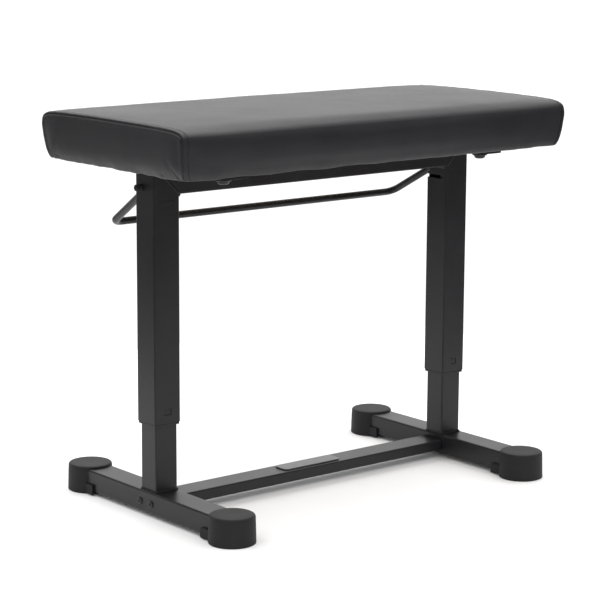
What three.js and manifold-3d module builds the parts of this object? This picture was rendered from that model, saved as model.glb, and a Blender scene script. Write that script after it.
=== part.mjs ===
// Piano bench on two telescoping columns, with lockable gas springs and a release bail.
// Millimetres, +Z up. The origin is on the floor under the middle of the bench,
// +X runs along the seat, and +Y points to the back, where the bail's bar is.
import * as THREE from "three";
import { mergeVertices } from "three/addons/utils/BufferGeometryUtils.js";
import Module from "manifold-3d";

const wasm = await Module();
wasm.setup();

// ---- driving dimensions ----
const GAP = 0.3; // left between pieces that touch
const COLUMN_X = 249; // centre line of each column, from the middle

// base
const RAIL = { x: 251, width: 38, height: 28.5, wall: 2, corner: 3, bottom: 5, halfLength: 171 };
const FOOT = { y: 158, radius: 30.2, topRadius: 29.3, height: 37, rim: 3, chamfer: 1.2 };
const FOOT_EAR = { thickness: 3.2, reach: 7, low: 1.5, high: 15 };
const STRETCHER = { width: 38, height: 15, wall: 1.5, corner: 2, bottom: 11, y: 1.5 };
const END_BLOCK_LENGTH = 26;
const FRAME_SCREW = { spacing: 24, radius: 2.4, headRadius: 5, headHeight: 1.4, length: 58 };
const NAME_PLATE = { length: 97, width: 26, thickness: 1.6, corner: 6 };

// telescoping columns
const INNER = { x: 34, y: 32.5, wall: 2, corner: 2, top: 325 };
const OUTER = { x: 40, y: 39.5, wall: 1.5, corner: 2, bottom: 124.4 };
const TOP_RAIL = { bottom: 419, height: 40 };
const BUSH_PLAY = 0.2; // between a bush and each tube
const LOWER_BUSH = { length: 34, flange: 3, inset: 0.8 };
const UPPER_BUSH = { length: 28, lip: 3 };
const WINDOW = { width: 11, height: 8.4, z: 139.2, recess: 0.5 };
const NUT_SLOT = { z: 403.2, height: 4.6, front: -10.5 };
const CORNER_NOTCH = { z: 411.2, height: 3.8, front: 13.8 };
const CORNER_CUT_DEPTH = 4; // how far both corner cuts reach in from the column's face

// gas springs
const SPRING_PLATE = { bottom: 406.3, thickness: 6.4, tab: 20 };
const CYLINDER = { radius: 11, bore: 9, gland: 12, bottom: 56.3, top: 300, base: 8 };
const PLUG_HEIGHT = 22;
const ROD = { radius: 4, piston: 8.6, pistonLength: 10, bottom: 180, top: 416.5 };
const ROD_NUT = { flats: 17, height: 6 };
const PIN = { radius: 1.7, hole: 2.1, bottom: 399, top: 421.5, holeBottom: 394, shoulder: 1 };

// release bail and its axle
const AXLE = { y: 7, z: 428, radius: 3.6, halfLength: 274 };
const AXLE_CAP = { radius: 4.7, length: 9 };
const LEVER = { x: 247.8, width: 5.4, hub: 6.6, front: -5, bottom: 421.8, top: 427 };
const BAIL = { radius: 5, barY: 109.2, barZ: 369, cornerX: 243.4, axleX: 257, bend: 15 };
const ARM_SLOT = { x: 255.6, width: 12.5, low: 413.2, high: 431 };

// seat
const BRACKET = { x: 217, width: 43, thickness: 5, bottom: 447.5, reach: 120, corner: 4 };
const SEAT_BOLT = { y: 110, shift: -11, radius: 3.8, flange: 10, head: 6.2, length: 20 };
const SPACER = { radius: 11, hole: 4.4 };
const BOARD = { x: 612, y: 276, thickness: 15, bottom: 459.5, corner: 14, hole: 4.2 };
const SEAT = { halfX: 322, halfY: 154, bottom: 454.5, top: 516, corner: 20 };
const SEAT_POCKET_GAP = 1;

// ---- finishes ----
const PAINT = { color: 0x232326, roughness: 0.45, metalness: 0.2 };
const RUBBER = { color: 0x141414, roughness: 0.8, metalness: 0 };
const PLASTIC = { color: 0x101011, roughness: 0.5, metalness: 0 };
const PLATED = { color: 0x8c8c90, roughness: 0.35, metalness: 1 };
const CHROME = { color: 0xd0d0d2, roughness: 0.12, metalness: 1 };
const LEATHERETTE = { color: 0x1b1b1d, roughness: 0.5, metalness: 0 };
const PLYWOOD = { color: 0xa9865a, roughness: 0.75, metalness: 0 };
const SILVER_PLATE = { color: 0xc4c4c6, roughness: 0.4, metalness: 0.3 };

// ---- small tools ----

// An indexed geometry of positions only, with its shared vertices merged.
function weld(geometry) {
  const bare = geometry.clone();
  bare.deleteAttribute("normal");
  bare.deleteAttribute("uv");
  const merged = mergeVertices(bare, 1e-4);
  const index = merged.index.array;
  const kept = [];
  for (let i = 0; i < index.length; i += 3) {
    const [a, b, c] = [index[i], index[i + 1], index[i + 2]];
    if (a !== b && b !== c && c !== a) kept.push(a, b, c);
  }
  merged.setIndex(kept);
  return merged;
}

function solidOf(geometry) {
  const welded = weld(geometry);
  const vertProperties = Float32Array.from(welded.attributes.position.array);
  const triVerts = Uint32Array.from(welded.index.array);
  return new wasm.Manifold(new wasm.Mesh({ numProp: 3, vertProperties, triVerts }));
}

function geometryOf(solid) {
  const { vertProperties, triVerts, numProp } = solid.getMesh();
  const positions = [];
  for (let i = 0; i < vertProperties.length; i += numProp) {
    positions.push(vertProperties[i], vertProperties[i + 1], vertProperties[i + 2]);
  }
  const geometry = new THREE.BufferGeometry();
  geometry.setAttribute("position", new THREE.Float32BufferAttribute(positions, 3));
  geometry.setIndex(Array.from(triVerts));
  return geometry;
}

function cut(geometry, ...tools) {
  const whole = tools.reduce((solid, tool) => solid.subtract(solidOf(tool)), solidOf(geometry));
  return geometryOf(whole);
}

function join(geometry, ...others) {
  const whole = others.reduce((solid, other) => solid.add(solidOf(other)), solidOf(geometry));
  return geometryOf(whole);
}

function roundedRectangle(width, height, radius, Kind = THREE.Shape) {
  const x = width / 2;
  const y = height / 2;
  const outline = new Kind();
  outline.moveTo(-x + radius, -y);
  outline.absarc(x - radius, -y + radius, radius, -Math.PI / 2, 0);
  outline.absarc(x - radius, y - radius, radius, 0, Math.PI / 2);
  outline.absarc(-x + radius, y - radius, radius, Math.PI / 2, Math.PI);
  outline.absarc(-x + radius, -y + radius, radius, Math.PI, Math.PI * 1.5);
  outline.closePath();
  return outline;
}

// A straight bar of the given outline, along Z from low to high.
function prism(shape, low, high, curveSegments = 1) {
  const geometry = new THREE.ExtrudeGeometry(shape, {
    depth: high - low,
    bevelEnabled: false,
    curveSegments,
  });
  return geometry.translate(0, 0, low);
}

// A rounded rectangular tube along Z; inside, the corner radius is less by the wall.
function tube(width, depth, wall, corner, low, high) {
  const shape = roundedRectangle(width, depth, corner);
  const inner = roundedRectangle(width - 2 * wall, depth - 2 * wall, corner - wall + 0.4, THREE.Path);
  shape.holes.push(inner);
  return prism(shape, low, high);
}

function roundedBlock(width, depth, corner, low, high) {
  return prism(roundedRectangle(width, depth, corner), low, high);
}

// A box between two corners, given as ranges along X, Y and Z.
function block([x0, x1], [y0, y1], [z0, z1]) {
  const geometry = new THREE.BoxGeometry(Math.abs(x1 - x0), y1 - y0, z1 - z0);
  return geometry.translate((x0 + x1) / 2, (y0 + y1) / 2, (z0 + z1) / 2);
}

// A cylinder along Z between two heights.
function post(radius, low, high, segments = 16) {
  const geometry = new THREE.CylinderGeometry(radius, radius, high - low, segments);
  return geometry.rotateX(Math.PI / 2).translate(0, 0, (low + high) / 2);
}

// A cylinder along X between two places.
function bar(radius, from, to, segments = 16) {
  const geometry = new THREE.CylinderGeometry(radius, radius, Math.abs(to - from), segments);
  return geometry.rotateZ(Math.PI / 2).translate((from + to) / 2, 0, 0);
}

// A body turned about Z from [radius, height] pairs.
function turned(profile, segments = 20) {
  const points = profile.map(([radius, height]) => new THREE.Vector2(radius, height));
  return new THREE.LatheGeometry(points, segments).rotateX(Math.PI / 2);
}

// Rounded rectangles stacked along Z, closed by a fan at each end.
function loft(levels, cornerSegments, topHeight) {
  const positions = [];
  const count = 4 * (cornerSegments + 1);
  for (const { z, x, y, radius } of levels) {
    for (let corner = 0; corner < 4; corner += 1) {
      const sx = corner === 0 || corner === 3 ? 1 : -1;
      const sy = corner < 2 ? 1 : -1;
      for (let step = 0; step <= cornerSegments; step += 1) {
        const angle = ((corner + step / cornerSegments) * Math.PI) / 2;
        positions.push(
          sx * (x - radius) + radius * Math.cos(angle),
          sy * (y - radius) + radius * Math.sin(angle),
          z,
        );
      }
    }
  }
  const bottomCentre = positions.length / 3;
  positions.push(0, 0, levels[0].z, 0, 0, topHeight);
  const topRing = (levels.length - 1) * count;
  const index = [];
  for (let i = 0; i < count; i += 1) {
    const next = (i + 1) % count;
    index.push(bottomCentre, next, i, bottomCentre + 1, topRing + i, topRing + next);
    for (let level = 0; level < levels.length - 1; level += 1) {
      const low = level * count;
      const high = low + count;
      index.push(low + i, low + next, high + next, low + i, high + next, high + i);
    }
  }
  const geometry = new THREE.BufferGeometry();
  geometry.setAttribute("position", new THREE.Float32BufferAttribute(positions, 3));
  geometry.setIndex(index);
  return geometry;
}

// Straight and bent stretches of a rod, sampled evenly within each stretch.
class BentRod extends THREE.Curve {
  constructor(corners, bend) {
    super();
    this.stretches = [];
    let from = corners[0];
    for (let i = 1; i < corners.length - 1; i += 1) {
      const corner = corners[i];
      const before = corner.clone().sub(corners[i - 1]).setLength(bend);
      const after = corners[i + 1].clone().sub(corner).setLength(bend);
      const start = corner.clone().sub(before);
      const end = corner.clone().add(after);
      this.stretches.push(new THREE.LineCurve3(from, start));
      this.stretches.push(new THREE.QuadraticBezierCurve3(start, corner, end));
      from = end;
    }
    this.stretches.push(new THREE.LineCurve3(from, corners[corners.length - 1]));
  }

  getPoint(t, target = new THREE.Vector3()) {
    const place = Math.min(t, 1) * this.stretches.length;
    const stretch = Math.min(Math.floor(place), this.stretches.length - 1);
    return this.stretches[stretch].getPoint(place - stretch, target);
  }

  getPointAt(u, target) {
    return this.getPoint(u, target);
  }

  getTangentAt(u, target) {
    return this.getTangent(u, target);
  }
}

// ---- the assembly ----
const bench = new THREE.Group();

function add(name, finish, geometry, x = 0, y = 0, z = 0) {
  const mesh = new THREE.Mesh(geometry, new THREE.MeshStandardMaterial(finish));
  mesh.name = name;
  mesh.position.set(x, y, z);
  bench.add(mesh);
}

const SIDES = [
  { name: "left", side: -1 },
  { name: "right", side: 1 },
];
const ENDS = [
  { name: "front", end: -1 },
  { name: "back", end: 1 },
];

// values worked out from the driving dimensions
const columnFace = COLUMN_X + OUTER.x / 2; // outer face of a column
const railTop = RAIL.bottom + RAIL.height;
const railMiddle = RAIL.bottom + RAIL.height / 2;
const railInside = RAIL.x - RAIL.width / 2;
const stretcherMiddle = STRETCHER.bottom + STRETCHER.height / 2;
const stretcherTop = STRETCHER.bottom + STRETCHER.height;
const stretcherEnd = railInside - GAP;
const topRailTop = TOP_RAIL.bottom + TOP_RAIL.height;
const screwPlaces = [-1, 1].map((sign) => STRETCHER.y + (sign * FRAME_SCREW.spacing) / 2);

// The rail lies along Y; its two cross holes at each screw take the stretcher's screws.
function railGeometry(side) {
  const straight = tube(
    RAIL.width, RAIL.height, RAIL.wall, RAIL.corner, -RAIL.halfLength, RAIL.halfLength,
  ).rotateX(Math.PI / 2).translate(side * RAIL.x, 0, railMiddle);
  const holes = screwPlaces.map((y) =>
    bar(FRAME_SCREW.radius + GAP, side * (railInside - 2), side * (railInside + RAIL.width + 2))
      .translate(0, y, stretcherMiddle),
  );
  return cut(straight, ...holes);
}

// A round cap with a pocket for the rail's end and an ear on each side of the rail.
function footCapGeometry(end) {
  const round = turned([
    [0, 0],
    [FOOT.radius - FOOT.chamfer, 0],
    [FOOT.radius, FOOT.chamfer],
    [FOOT.topRadius, FOOT.height - FOOT.rim],
    [FOOT.topRadius - FOOT.rim * 0.3, FOOT.height - FOOT.rim * 0.3],
    [FOOT.topRadius - FOOT.rim, FOOT.height],
    [0, FOOT.height],
  ], 36);
  const inwards = -end;
  const earFrom = -inwards * 4;
  const earTo = inwards * (FOOT.radius + FOOT_EAR.reach);
  const span = [Math.min(earFrom, earTo), Math.max(earFrom, earTo)];
  const half = RAIL.width / 2 + GAP + FOOT_EAR.thickness;
  const ears = block([-half, half], span, [FOOT_EAR.low, FOOT_EAR.high]);
  const pocketEnd = RAIL.halfLength - FOOT.y + GAP;
  const mouth = -(FOOT.radius + FOOT_EAR.reach + 2);
  const pocketSpan = end > 0 ? [mouth, pocketEnd] : [-pocketEnd, -mouth];
  const pocket = block(
    [-RAIL.width / 2 - GAP, RAIL.width / 2 + GAP],
    pocketSpan,
    [RAIL.bottom - GAP, railTop + GAP],
  );
  const underRail = end > 0 ? [mouth, -FOOT.radius * 0.8] : [FOOT.radius * 0.8, -mouth];
  const beneath = block([-half + FOOT_EAR.thickness, half - FOOT_EAR.thickness], underRail, [-1, 9]);
  return cut(join(round, ears), pocket, beneath);
}

for (const { name, side } of SIDES) {
  add(`base_rail_${name}`, PAINT, railGeometry(side));
  for (const { name: endName, end } of ENDS) {
    const foot = footCapGeometry(end);
    add(`foot_cap_${endName}_${name}`, RUBBER, foot, side * RAIL.x, end * FOOT.y);
  }
}

// stretcher, its end blocks and its screws
const stretcher = tube(
  STRETCHER.height, STRETCHER.width, STRETCHER.wall, STRETCHER.corner, -stretcherEnd, stretcherEnd,
).rotateY(Math.PI / 2);
add("stretcher", PAINT, stretcher, 0, STRETCHER.y, stretcherMiddle);

const blockHalfWidth = STRETCHER.width / 2 - STRETCHER.wall - GAP;
const blockHalfHeight = STRETCHER.height / 2 - STRETCHER.wall - GAP;
for (const { name, side } of SIDES) {
  const solid = block(
    [side * (stretcherEnd - END_BLOCK_LENGTH), side * stretcherEnd],
    [-blockHalfWidth, blockHalfWidth],
    [-blockHalfHeight, blockHalfHeight],
  );
  const holeStart = side * (stretcherEnd - END_BLOCK_LENGTH - 2);
  const holeEnd = side * (stretcherEnd + 2);
  const holes = [-1, 1].map((sign) =>
    bar(FRAME_SCREW.radius + GAP, holeStart, holeEnd).translate(0, (sign * FRAME_SCREW.spacing) / 2, 0),
  );
  add(`stretcher_end_block_${name}`, PLATED, cut(solid, ...holes), 0, STRETCHER.y, stretcherMiddle);
  screwPlaces.forEach((y, i) => {
    const face = side * (RAIL.x + RAIL.width / 2 + GAP);
    const head = bar(FRAME_SCREW.headRadius, face, face + side * FRAME_SCREW.headHeight, 20);
    const shank = bar(FRAME_SCREW.radius, face + side * 0.5, face - side * FRAME_SCREW.length, 14);
    const place = i === 0 ? "front" : "back";
    add(`stretcher_screw_${place}_${name}`, PLATED, join(head, shank), 0, y, stretcherMiddle);
  });
}

const plateLow = stretcherTop + GAP;
const plateHigh = plateLow + NAME_PLATE.thickness;
const plate = roundedBlock(NAME_PLATE.length, NAME_PLATE.width, NAME_PLATE.corner, plateLow, plateHigh);
add("blank_name_plate", SILVER_PLATE, plate, 0, STRETCHER.y);

// ---- columns, guides and gas springs ----

// Everything on one side of the plane where the column and the top rail are mitred: the
// rail's side or the column's. It runs at 45 degrees through the frame's top corners.
function mitreHalf(side, ofRail) {
  const inner = columnFace - OUTER.x;
  const reach = 80;
  const shape = new THREE.Shape();
  const shift = ofRail ? -GAP / 2 : GAP / 2;
  shape.moveTo(inner - reach, TOP_RAIL.bottom - reach + shift);
  shape.lineTo(inner + reach, TOP_RAIL.bottom + reach + shift);
  if (ofRail) shape.lineTo(inner - reach, TOP_RAIL.bottom + reach);
  else shape.lineTo(inner + reach, TOP_RAIL.bottom - reach);
  shape.closePath();
  const wedge = prism(shape, -40, 40).rotateX(Math.PI / 2);
  return side > 0 ? wedge : wedge.rotateZ(Math.PI);
}

// Both cuts across the column's inner back corner: the nut slot and the small notch.
function cornerCut(side, { z, height, front }) {
  const inner = columnFace - OUTER.x;
  return block(
    [side * (inner - 1), side * (inner + CORNER_CUT_DEPTH)],
    [front, OUTER.y / 2 + 1],
    [z - height / 2, z + height / 2],
  );
}

function outerColumnGeometry(side) {
  const straight = tube(OUTER.x, OUTER.y, OUTER.wall, OUTER.corner, OUTER.bottom, topRailTop)
    .translate(side * COLUMN_X, 0, 0);
  const outside = OUTER.y / 2 + 1;
  const windowSpan = WINDOW.width / 2;
  const window = block(
    [side * COLUMN_X - windowSpan, side * COLUMN_X + windowSpan],
    [-outside, outside],
    [WINDOW.z - WINDOW.height / 2, WINDOW.z + WINDOW.height / 2],
  );
  const tabSpan = SPRING_PLATE.tab / 2 + GAP;
  const tabSlot = block(
    [side * COLUMN_X - tabSpan, side * COLUMN_X + tabSpan],
    [-outside, outside],
    [SPRING_PLATE.bottom - GAP, SPRING_PLATE.bottom + SPRING_PLATE.thickness + GAP],
  );
  const armSlot = block(
    [side * (ARM_SLOT.x - ARM_SLOT.width / 2), side * (ARM_SLOT.x + ARM_SLOT.width / 2)],
    [0, outside],
    [ARM_SLOT.low, ARM_SLOT.high],
  );
  const axleHole = bar(AXLE.radius + GAP, side * (COLUMN_X + 10), side * (columnFace + 5))
    .translate(0, AXLE.y, AXLE.z);
  return cut(
    straight,
    mitreHalf(side, true),
    window,
    tabSlot,
    armSlot,
    axleHole,
    cornerCut(side, NUT_SLOT),
    cornerCut(side, CORNER_NOTCH),
  );
}

function topRailGeometry() {
  const straight = tube(
    TOP_RAIL.height, OUTER.y, OUTER.wall, OUTER.corner, -columnFace, columnFace,
  ).rotateY(Math.PI / 2).translate(0, 0, TOP_RAIL.bottom + TOP_RAIL.height / 2);
  return cut(straight, mitreHalf(1, false), mitreHalf(-1, false));
}

// A rectangular collar around the inner column, inside the outer one.
function collar(low, high) {
  const width = OUTER.x - 2 * OUTER.wall - 2 * BUSH_PLAY;
  const depth = OUTER.y - 2 * OUTER.wall - 2 * BUSH_PLAY;
  const shape = roundedRectangle(width, depth, 1.6);
  const hole = [INNER.x + 2 * BUSH_PLAY, INNER.y + 2 * BUSH_PLAY];
  shape.holes.push(roundedRectangle(hole[0], hole[1], INNER.corner, THREE.Path));
  return prism(shape, low, high);
}

function lowerBushGeometry() {
  const flangeLow = OUTER.bottom - GAP - LOWER_BUSH.flange;
  const flangeShape = roundedRectangle(
    OUTER.x - 2 * LOWER_BUSH.inset, OUTER.y - 2 * LOWER_BUSH.inset, OUTER.corner - LOWER_BUSH.inset,
  );
  const hole = [INNER.x + 2 * BUSH_PLAY, INNER.y + 2 * BUSH_PLAY];
  flangeShape.holes.push(roundedRectangle(hole[0], hole[1], INNER.corner, THREE.Path));
  const flange = prism(flangeShape, flangeLow, OUTER.bottom - GAP);
  const tabs = [-1, 1].map((end) => {
    const root = OUTER.y / 2 - OUTER.wall - BUSH_PLAY - 0.8;
    const tip = OUTER.y / 2 - WINDOW.recess;
    return block(
      [-WINDOW.width / 2 + GAP, WINDOW.width / 2 - GAP],
      end > 0 ? [root, tip] : [-tip, -root],
      [WINDOW.z - WINDOW.height / 2 + GAP, WINDOW.z + WINDOW.height / 2 - GAP],
    );
  });
  return join(collar(flangeLow + 1, OUTER.bottom + LOWER_BUSH.length), flange, ...tabs);
}

function upperBushGeometry() {
  const low = INNER.top - UPPER_BUSH.length;
  const sleeve = collar(low, INNER.top + UPPER_BUSH.lip);
  const lip = tube(
    INNER.x + 1.2, INNER.y + 1.2, INNER.wall + 1, INNER.corner,
    INNER.top + GAP, INNER.top + UPPER_BUSH.lip,
  );
  return join(sleeve, lip);
}

function cylinderGeometry() {
  const { radius, bore, gland, bottom, top, base } = CYLINDER;
  return turned([
    [0, bottom],
    [radius - 1, bottom],
    [radius, bottom + 1],
    [radius, top - 1],
    [radius - 1, top],
    [ROD.radius + GAP, top],
    [ROD.radius + GAP, top - gland],
    [bore, top - gland],
    [bore, bottom + base],
    [0, bottom + base],
  ], 24);
}

function pistonRodGeometry() {
  const { radius, piston, pistonLength, bottom, top } = ROD;
  return turned([
    [0, bottom],
    [piston, bottom],
    [piston, bottom + pistonLength],
    [radius, bottom + pistonLength],
    [radius, top - 0.6],
    [radius - 0.6, top],
    [PIN.hole, top],
    [PIN.hole, PIN.holeBottom],
    [0, PIN.holeBottom],
  ]);
}

function rodNutGeometry() {
  const high = SPRING_PLATE.bottom - GAP;
  const across = ROD_NUT.flats / Math.sqrt(3);
  const hexagon = post(across, high - ROD_NUT.height, high, 6);
  return cut(hexagon, post(ROD.radius + GAP, high - ROD_NUT.height - 1, high + 1));
}

function springPlateGeometry() {
  const high = SPRING_PLATE.bottom + SPRING_PLATE.thickness;
  const width = OUTER.x - 2 * OUTER.wall - 2 * GAP;
  const depth = OUTER.y - 2 * OUTER.wall - 2 * GAP;
  const plateBody = roundedBlock(width, depth, 2, SPRING_PLATE.bottom, high);
  const halfTab = SPRING_PLATE.tab / 2;
  const tabs = block([-halfTab, halfTab], [-OUTER.y / 2, OUTER.y / 2], [SPRING_PLATE.bottom, high]);
  return cut(join(plateBody, tabs), post(ROD.radius + GAP, SPRING_PLATE.bottom - 1, high + 1));
}

function releasePinGeometry() {
  const { radius, bottom, top, shoulder } = PIN;
  return turned([
    [0, bottom],
    [radius, bottom],
    [radius, top - shoulder],
    [radius * 0.6, top],
    [0, top],
  ], 12);
}

for (const { name, side } of SIDES) {
  const x = side * COLUMN_X;
  const innerColumn = tube(INNER.x, INNER.y, INNER.wall, INNER.corner, railTop + GAP, INNER.top);
  add(`inner_column_${name}`, PAINT, innerColumn, x);
  const plugLow = railTop + GAP;
  const inside = [INNER.x / 2 - INNER.wall - GAP, INNER.y / 2 - INNER.wall - GAP];
  const plug = block([-inside[0], inside[0]], [-inside[1], inside[1]], [plugLow, plugLow + PLUG_HEIGHT]);
  add(`cylinder_plug_${name}`, PLATED, plug, x);
  add(`upper_bush_${name}`, PLASTIC, upperBushGeometry(), x);
  add(`gas_cylinder_${name}`, PAINT, cylinderGeometry(), x);
  add(`outer_column_${name}`, PAINT, outerColumnGeometry(side));
  add(`lower_bush_${name}`, PLASTIC, lowerBushGeometry(), x);
  add(`spring_plate_${name}`, PAINT, springPlateGeometry(), x);
  add(`piston_rod_${name}`, CHROME, pistonRodGeometry(), x);
  add(`rod_nut_${name}`, PLATED, rodNutGeometry(), x);
  add(`release_pin_${name}`, PLATED, releasePinGeometry(), x);
}
add("top_rail", PAINT, topRailGeometry());

// ---- release bail, axle, levers and caps ----

// The rod's arm leaves the axle, bends into the long bar and comes back to the other side.
function bailGeometry() {
  const arm = new THREE.Vector3(
    BAIL.cornerX - BAIL.axleX, BAIL.barY - AXLE.y, BAIL.barZ - AXLE.z,
  ).normalize();
  const start = new THREE.Vector3(BAIL.axleX, AXLE.y, AXLE.z).addScaledVector(arm, AXLE.radius + 0.6);
  const corner = new THREE.Vector3(BAIL.cornerX, BAIL.barY, BAIL.barZ);
  const mirrored = (point) => new THREE.Vector3(-point.x, point.y, point.z);
  const path = new BentRod([start, corner, mirrored(corner), mirrored(start)], BAIL.bend);
  const section = new THREE.Shape().absarc(0, 0, BAIL.radius, 0, Math.PI * 2);
  return new THREE.ExtrudeGeometry(section, {
    extrudePath: path,
    steps: 8 * path.stretches.length,
    curveSegments: 6,
    bevelEnabled: false,
  });
}
add("bail_rod", PAINT, bailGeometry());

const axle = bar(AXLE.radius, -AXLE.halfLength, AXLE.halfLength);
add("release_axle", PLATED, axle, 0, AXLE.y, AXLE.z);

for (const { name, side } of SIDES) {
  const hub = bar(LEVER.hub, -LEVER.width / 2, LEVER.width / 2);
  const finger = block(
    [-LEVER.width / 2, LEVER.width / 2],
    [LEVER.front - AXLE.y, 0],
    [LEVER.bottom - AXLE.z, LEVER.top - AXLE.z],
  );
  const trimmed = cut(
    hub,
    block(
      [-LEVER.width, LEVER.width],
      [-LEVER.hub - 1, LEVER.hub + 1],
      [-LEVER.hub - 1, LEVER.bottom - AXLE.z],
    ),
  );
  const lever = cut(join(trimmed, finger), bar(AXLE.radius + GAP, -LEVER.width, LEVER.width));
  add(`release_lever_${name}`, PLATED, lever, side * LEVER.x, AXLE.y, AXLE.z);

  // the cap is a cup on the axle's end, just outside the column
  const mouth = columnFace + GAP;
  const cup = turned([
    [0, AXLE.halfLength + GAP - mouth],
    [AXLE.radius + GAP, AXLE.halfLength + GAP - mouth],
    [AXLE.radius + GAP, 0],
    [AXLE_CAP.radius, 0],
    [AXLE_CAP.radius, AXLE_CAP.length - 1],
    [AXLE_CAP.radius - 1, AXLE_CAP.length],
    [0, AXLE_CAP.length],
  ]).rotateY((side * Math.PI) / 2);
  add(`axle_cap_${name}`, RUBBER, cup, side * mouth, AXLE.y, AXLE.z);
}

// ---- seat ----
const bracketTop = BRACKET.bottom + BRACKET.thickness;
const boltPlaces = [];

for (const { name, side } of SIDES) {
  for (const { name: endName, end } of ENDS) {
    const label = `${endName}_${name}`;
    const near = OUTER.y / 2 + GAP;
    const length = BRACKET.reach - near;
    // each pair of brackets is turned half round, so the bolts sit on opposite sides
    const bolt = { x: side * BRACKET.x - end * SEAT_BOLT.shift, y: end * SEAT_BOLT.y };
    boltPlaces.push(bolt);
    const bracket = roundedBlock(BRACKET.width, length, BRACKET.corner, BRACKET.bottom, bracketTop)
      .translate(side * BRACKET.x, end * (near + length / 2), 0);
    const hole = post(SEAT_BOLT.radius + 0.4, BRACKET.bottom - 1, bracketTop + 1)
      .translate(bolt.x, bolt.y, 0);
    add(`seat_bracket_${label}`, PAINT, cut(bracket, hole));

    const spacer = post(SPACER.radius, bracketTop + GAP, BOARD.bottom - GAP);
    const bore = post(SPACER.hole, bracketTop, BOARD.bottom);
    add(`seat_spacer_${label}`, RUBBER, cut(spacer, bore), bolt.x, bolt.y);

    const under = BRACKET.bottom - GAP;
    const boltSolid = turned([
      [0, under - SEAT_BOLT.head],
      [SEAT_BOLT.radius, under - SEAT_BOLT.head],
      [SEAT_BOLT.flange * 0.62, under - SEAT_BOLT.head * 0.78],
      [SEAT_BOLT.flange * 0.75, under - 1.8],
      [SEAT_BOLT.flange, under - 1.5],
      [SEAT_BOLT.flange, under],
      [SEAT_BOLT.radius, under],
      [SEAT_BOLT.radius, under + SEAT_BOLT.length],
      [0, under + SEAT_BOLT.length],
    ]);
    add(`seat_bolt_${label}`, PLATED, boltSolid, bolt.x, bolt.y);
  }
}

const boardTop = BOARD.bottom + BOARD.thickness;
const boardSolid = roundedBlock(BOARD.x, BOARD.y, BOARD.corner, BOARD.bottom, boardTop);
const boltHoles = boltPlaces.map(({ x, y }) =>
  post(BOARD.hole, BOARD.bottom - 1, boardTop + 1).translate(x, y, 0),
);
add("seat_board", PLYWOOD, cut(boardSolid, ...boltHoles));

// The cushion is widest above half height, draws in below and is rounded and crowned above.
function cushionGeometry() {
  const height = SEAT.top - SEAT.bottom;
  const level = (share, inset, radius) => ({
    z: SEAT.bottom + share * height,
    x: SEAT.halfX - inset,
    y: SEAT.halfY - inset,
    radius,
  });
  const body = loft([
    level(0, 8, SEAT.corner - 4),
    level(0.06, 6, SEAT.corner - 3),
    level(0.3, 2.5, SEAT.corner - 1),
    level(0.52, 1, SEAT.corner),
    level(0.68, 0, SEAT.corner),
    level(0.82, 4, SEAT.corner + 2),
    level(0.91, 11, SEAT.corner + 5),
    level(0.96, 22, SEAT.corner + 9),
    level(0.985, 42, SEAT.corner + 12),
  ], 6, SEAT.top);
  const pocket = roundedBlock(
    BOARD.x + 2 * SEAT_POCKET_GAP,
    BOARD.y + 2 * SEAT_POCKET_GAP,
    BOARD.corner + SEAT_POCKET_GAP,
    SEAT.bottom - 5,
    boardTop + SEAT_POCKET_GAP,
  );
  return cut(body, pocket);
}
add("seat_cushion", LEATHERETTE, cushionGeometry());

export default bench;
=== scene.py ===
import math

import bmesh
import bpy
from mathutils import Matrix, Vector, noise
from mathutils.bvhtree import BVHTree


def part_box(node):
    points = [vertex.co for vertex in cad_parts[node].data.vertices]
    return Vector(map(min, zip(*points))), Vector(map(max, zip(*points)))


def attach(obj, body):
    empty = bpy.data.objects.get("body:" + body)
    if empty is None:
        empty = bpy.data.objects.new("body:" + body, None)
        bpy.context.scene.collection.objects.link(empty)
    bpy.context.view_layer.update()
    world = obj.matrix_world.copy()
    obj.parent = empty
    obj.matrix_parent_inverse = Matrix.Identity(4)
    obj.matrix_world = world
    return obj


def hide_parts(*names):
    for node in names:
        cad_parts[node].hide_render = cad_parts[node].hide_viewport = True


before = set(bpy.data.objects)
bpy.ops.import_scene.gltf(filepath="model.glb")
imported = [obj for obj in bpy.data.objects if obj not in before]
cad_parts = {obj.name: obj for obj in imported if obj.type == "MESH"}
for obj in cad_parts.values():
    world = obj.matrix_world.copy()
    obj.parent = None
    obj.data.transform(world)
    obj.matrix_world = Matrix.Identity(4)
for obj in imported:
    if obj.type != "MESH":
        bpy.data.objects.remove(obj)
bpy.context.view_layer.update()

MM = 0.001
SIDES = {"left": -1, "right": 1}
ENDS = {"front": -1, "back": 1}
scene = bpy.context.scene


# ---- camera, lights and floor ----

CAMERA_PLACE = (-1.829822, -2.230647, 0.805931)
CAMERA_AZIMUTH, CAMERA_ELEVATION, CAMERA_ROLL = -39.114, 10.84, 0.332
CAMERA_LENS, CAMERA_SENSOR = 130.76, 36.0


def make_camera():
    azimuth, elevation, roll = (
        math.radians(angle) for angle in (CAMERA_AZIMUTH, CAMERA_ELEVATION, CAMERA_ROLL)
    )
    right = Vector((math.cos(azimuth), math.sin(azimuth), 0))
    back = Vector((
        math.sin(azimuth) * math.cos(elevation),
        -math.cos(azimuth) * math.cos(elevation),
        math.sin(elevation),
    ))
    up = back.cross(right)
    across = right * math.cos(roll) + up * math.sin(roll)
    upright = up * math.cos(roll) - right * math.sin(roll)
    data = bpy.data.cameras.new("camera")
    data.lens = CAMERA_LENS
    data.sensor_width = CAMERA_SENSOR
    camera = bpy.data.objects.new("camera", data)
    turn = Matrix((across, upright, back)).transposed().to_4x4()
    camera.matrix_world = Matrix.Translation(CAMERA_PLACE) @ turn
    scene.collection.objects.link(camera)
    scene.camera = camera


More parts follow.
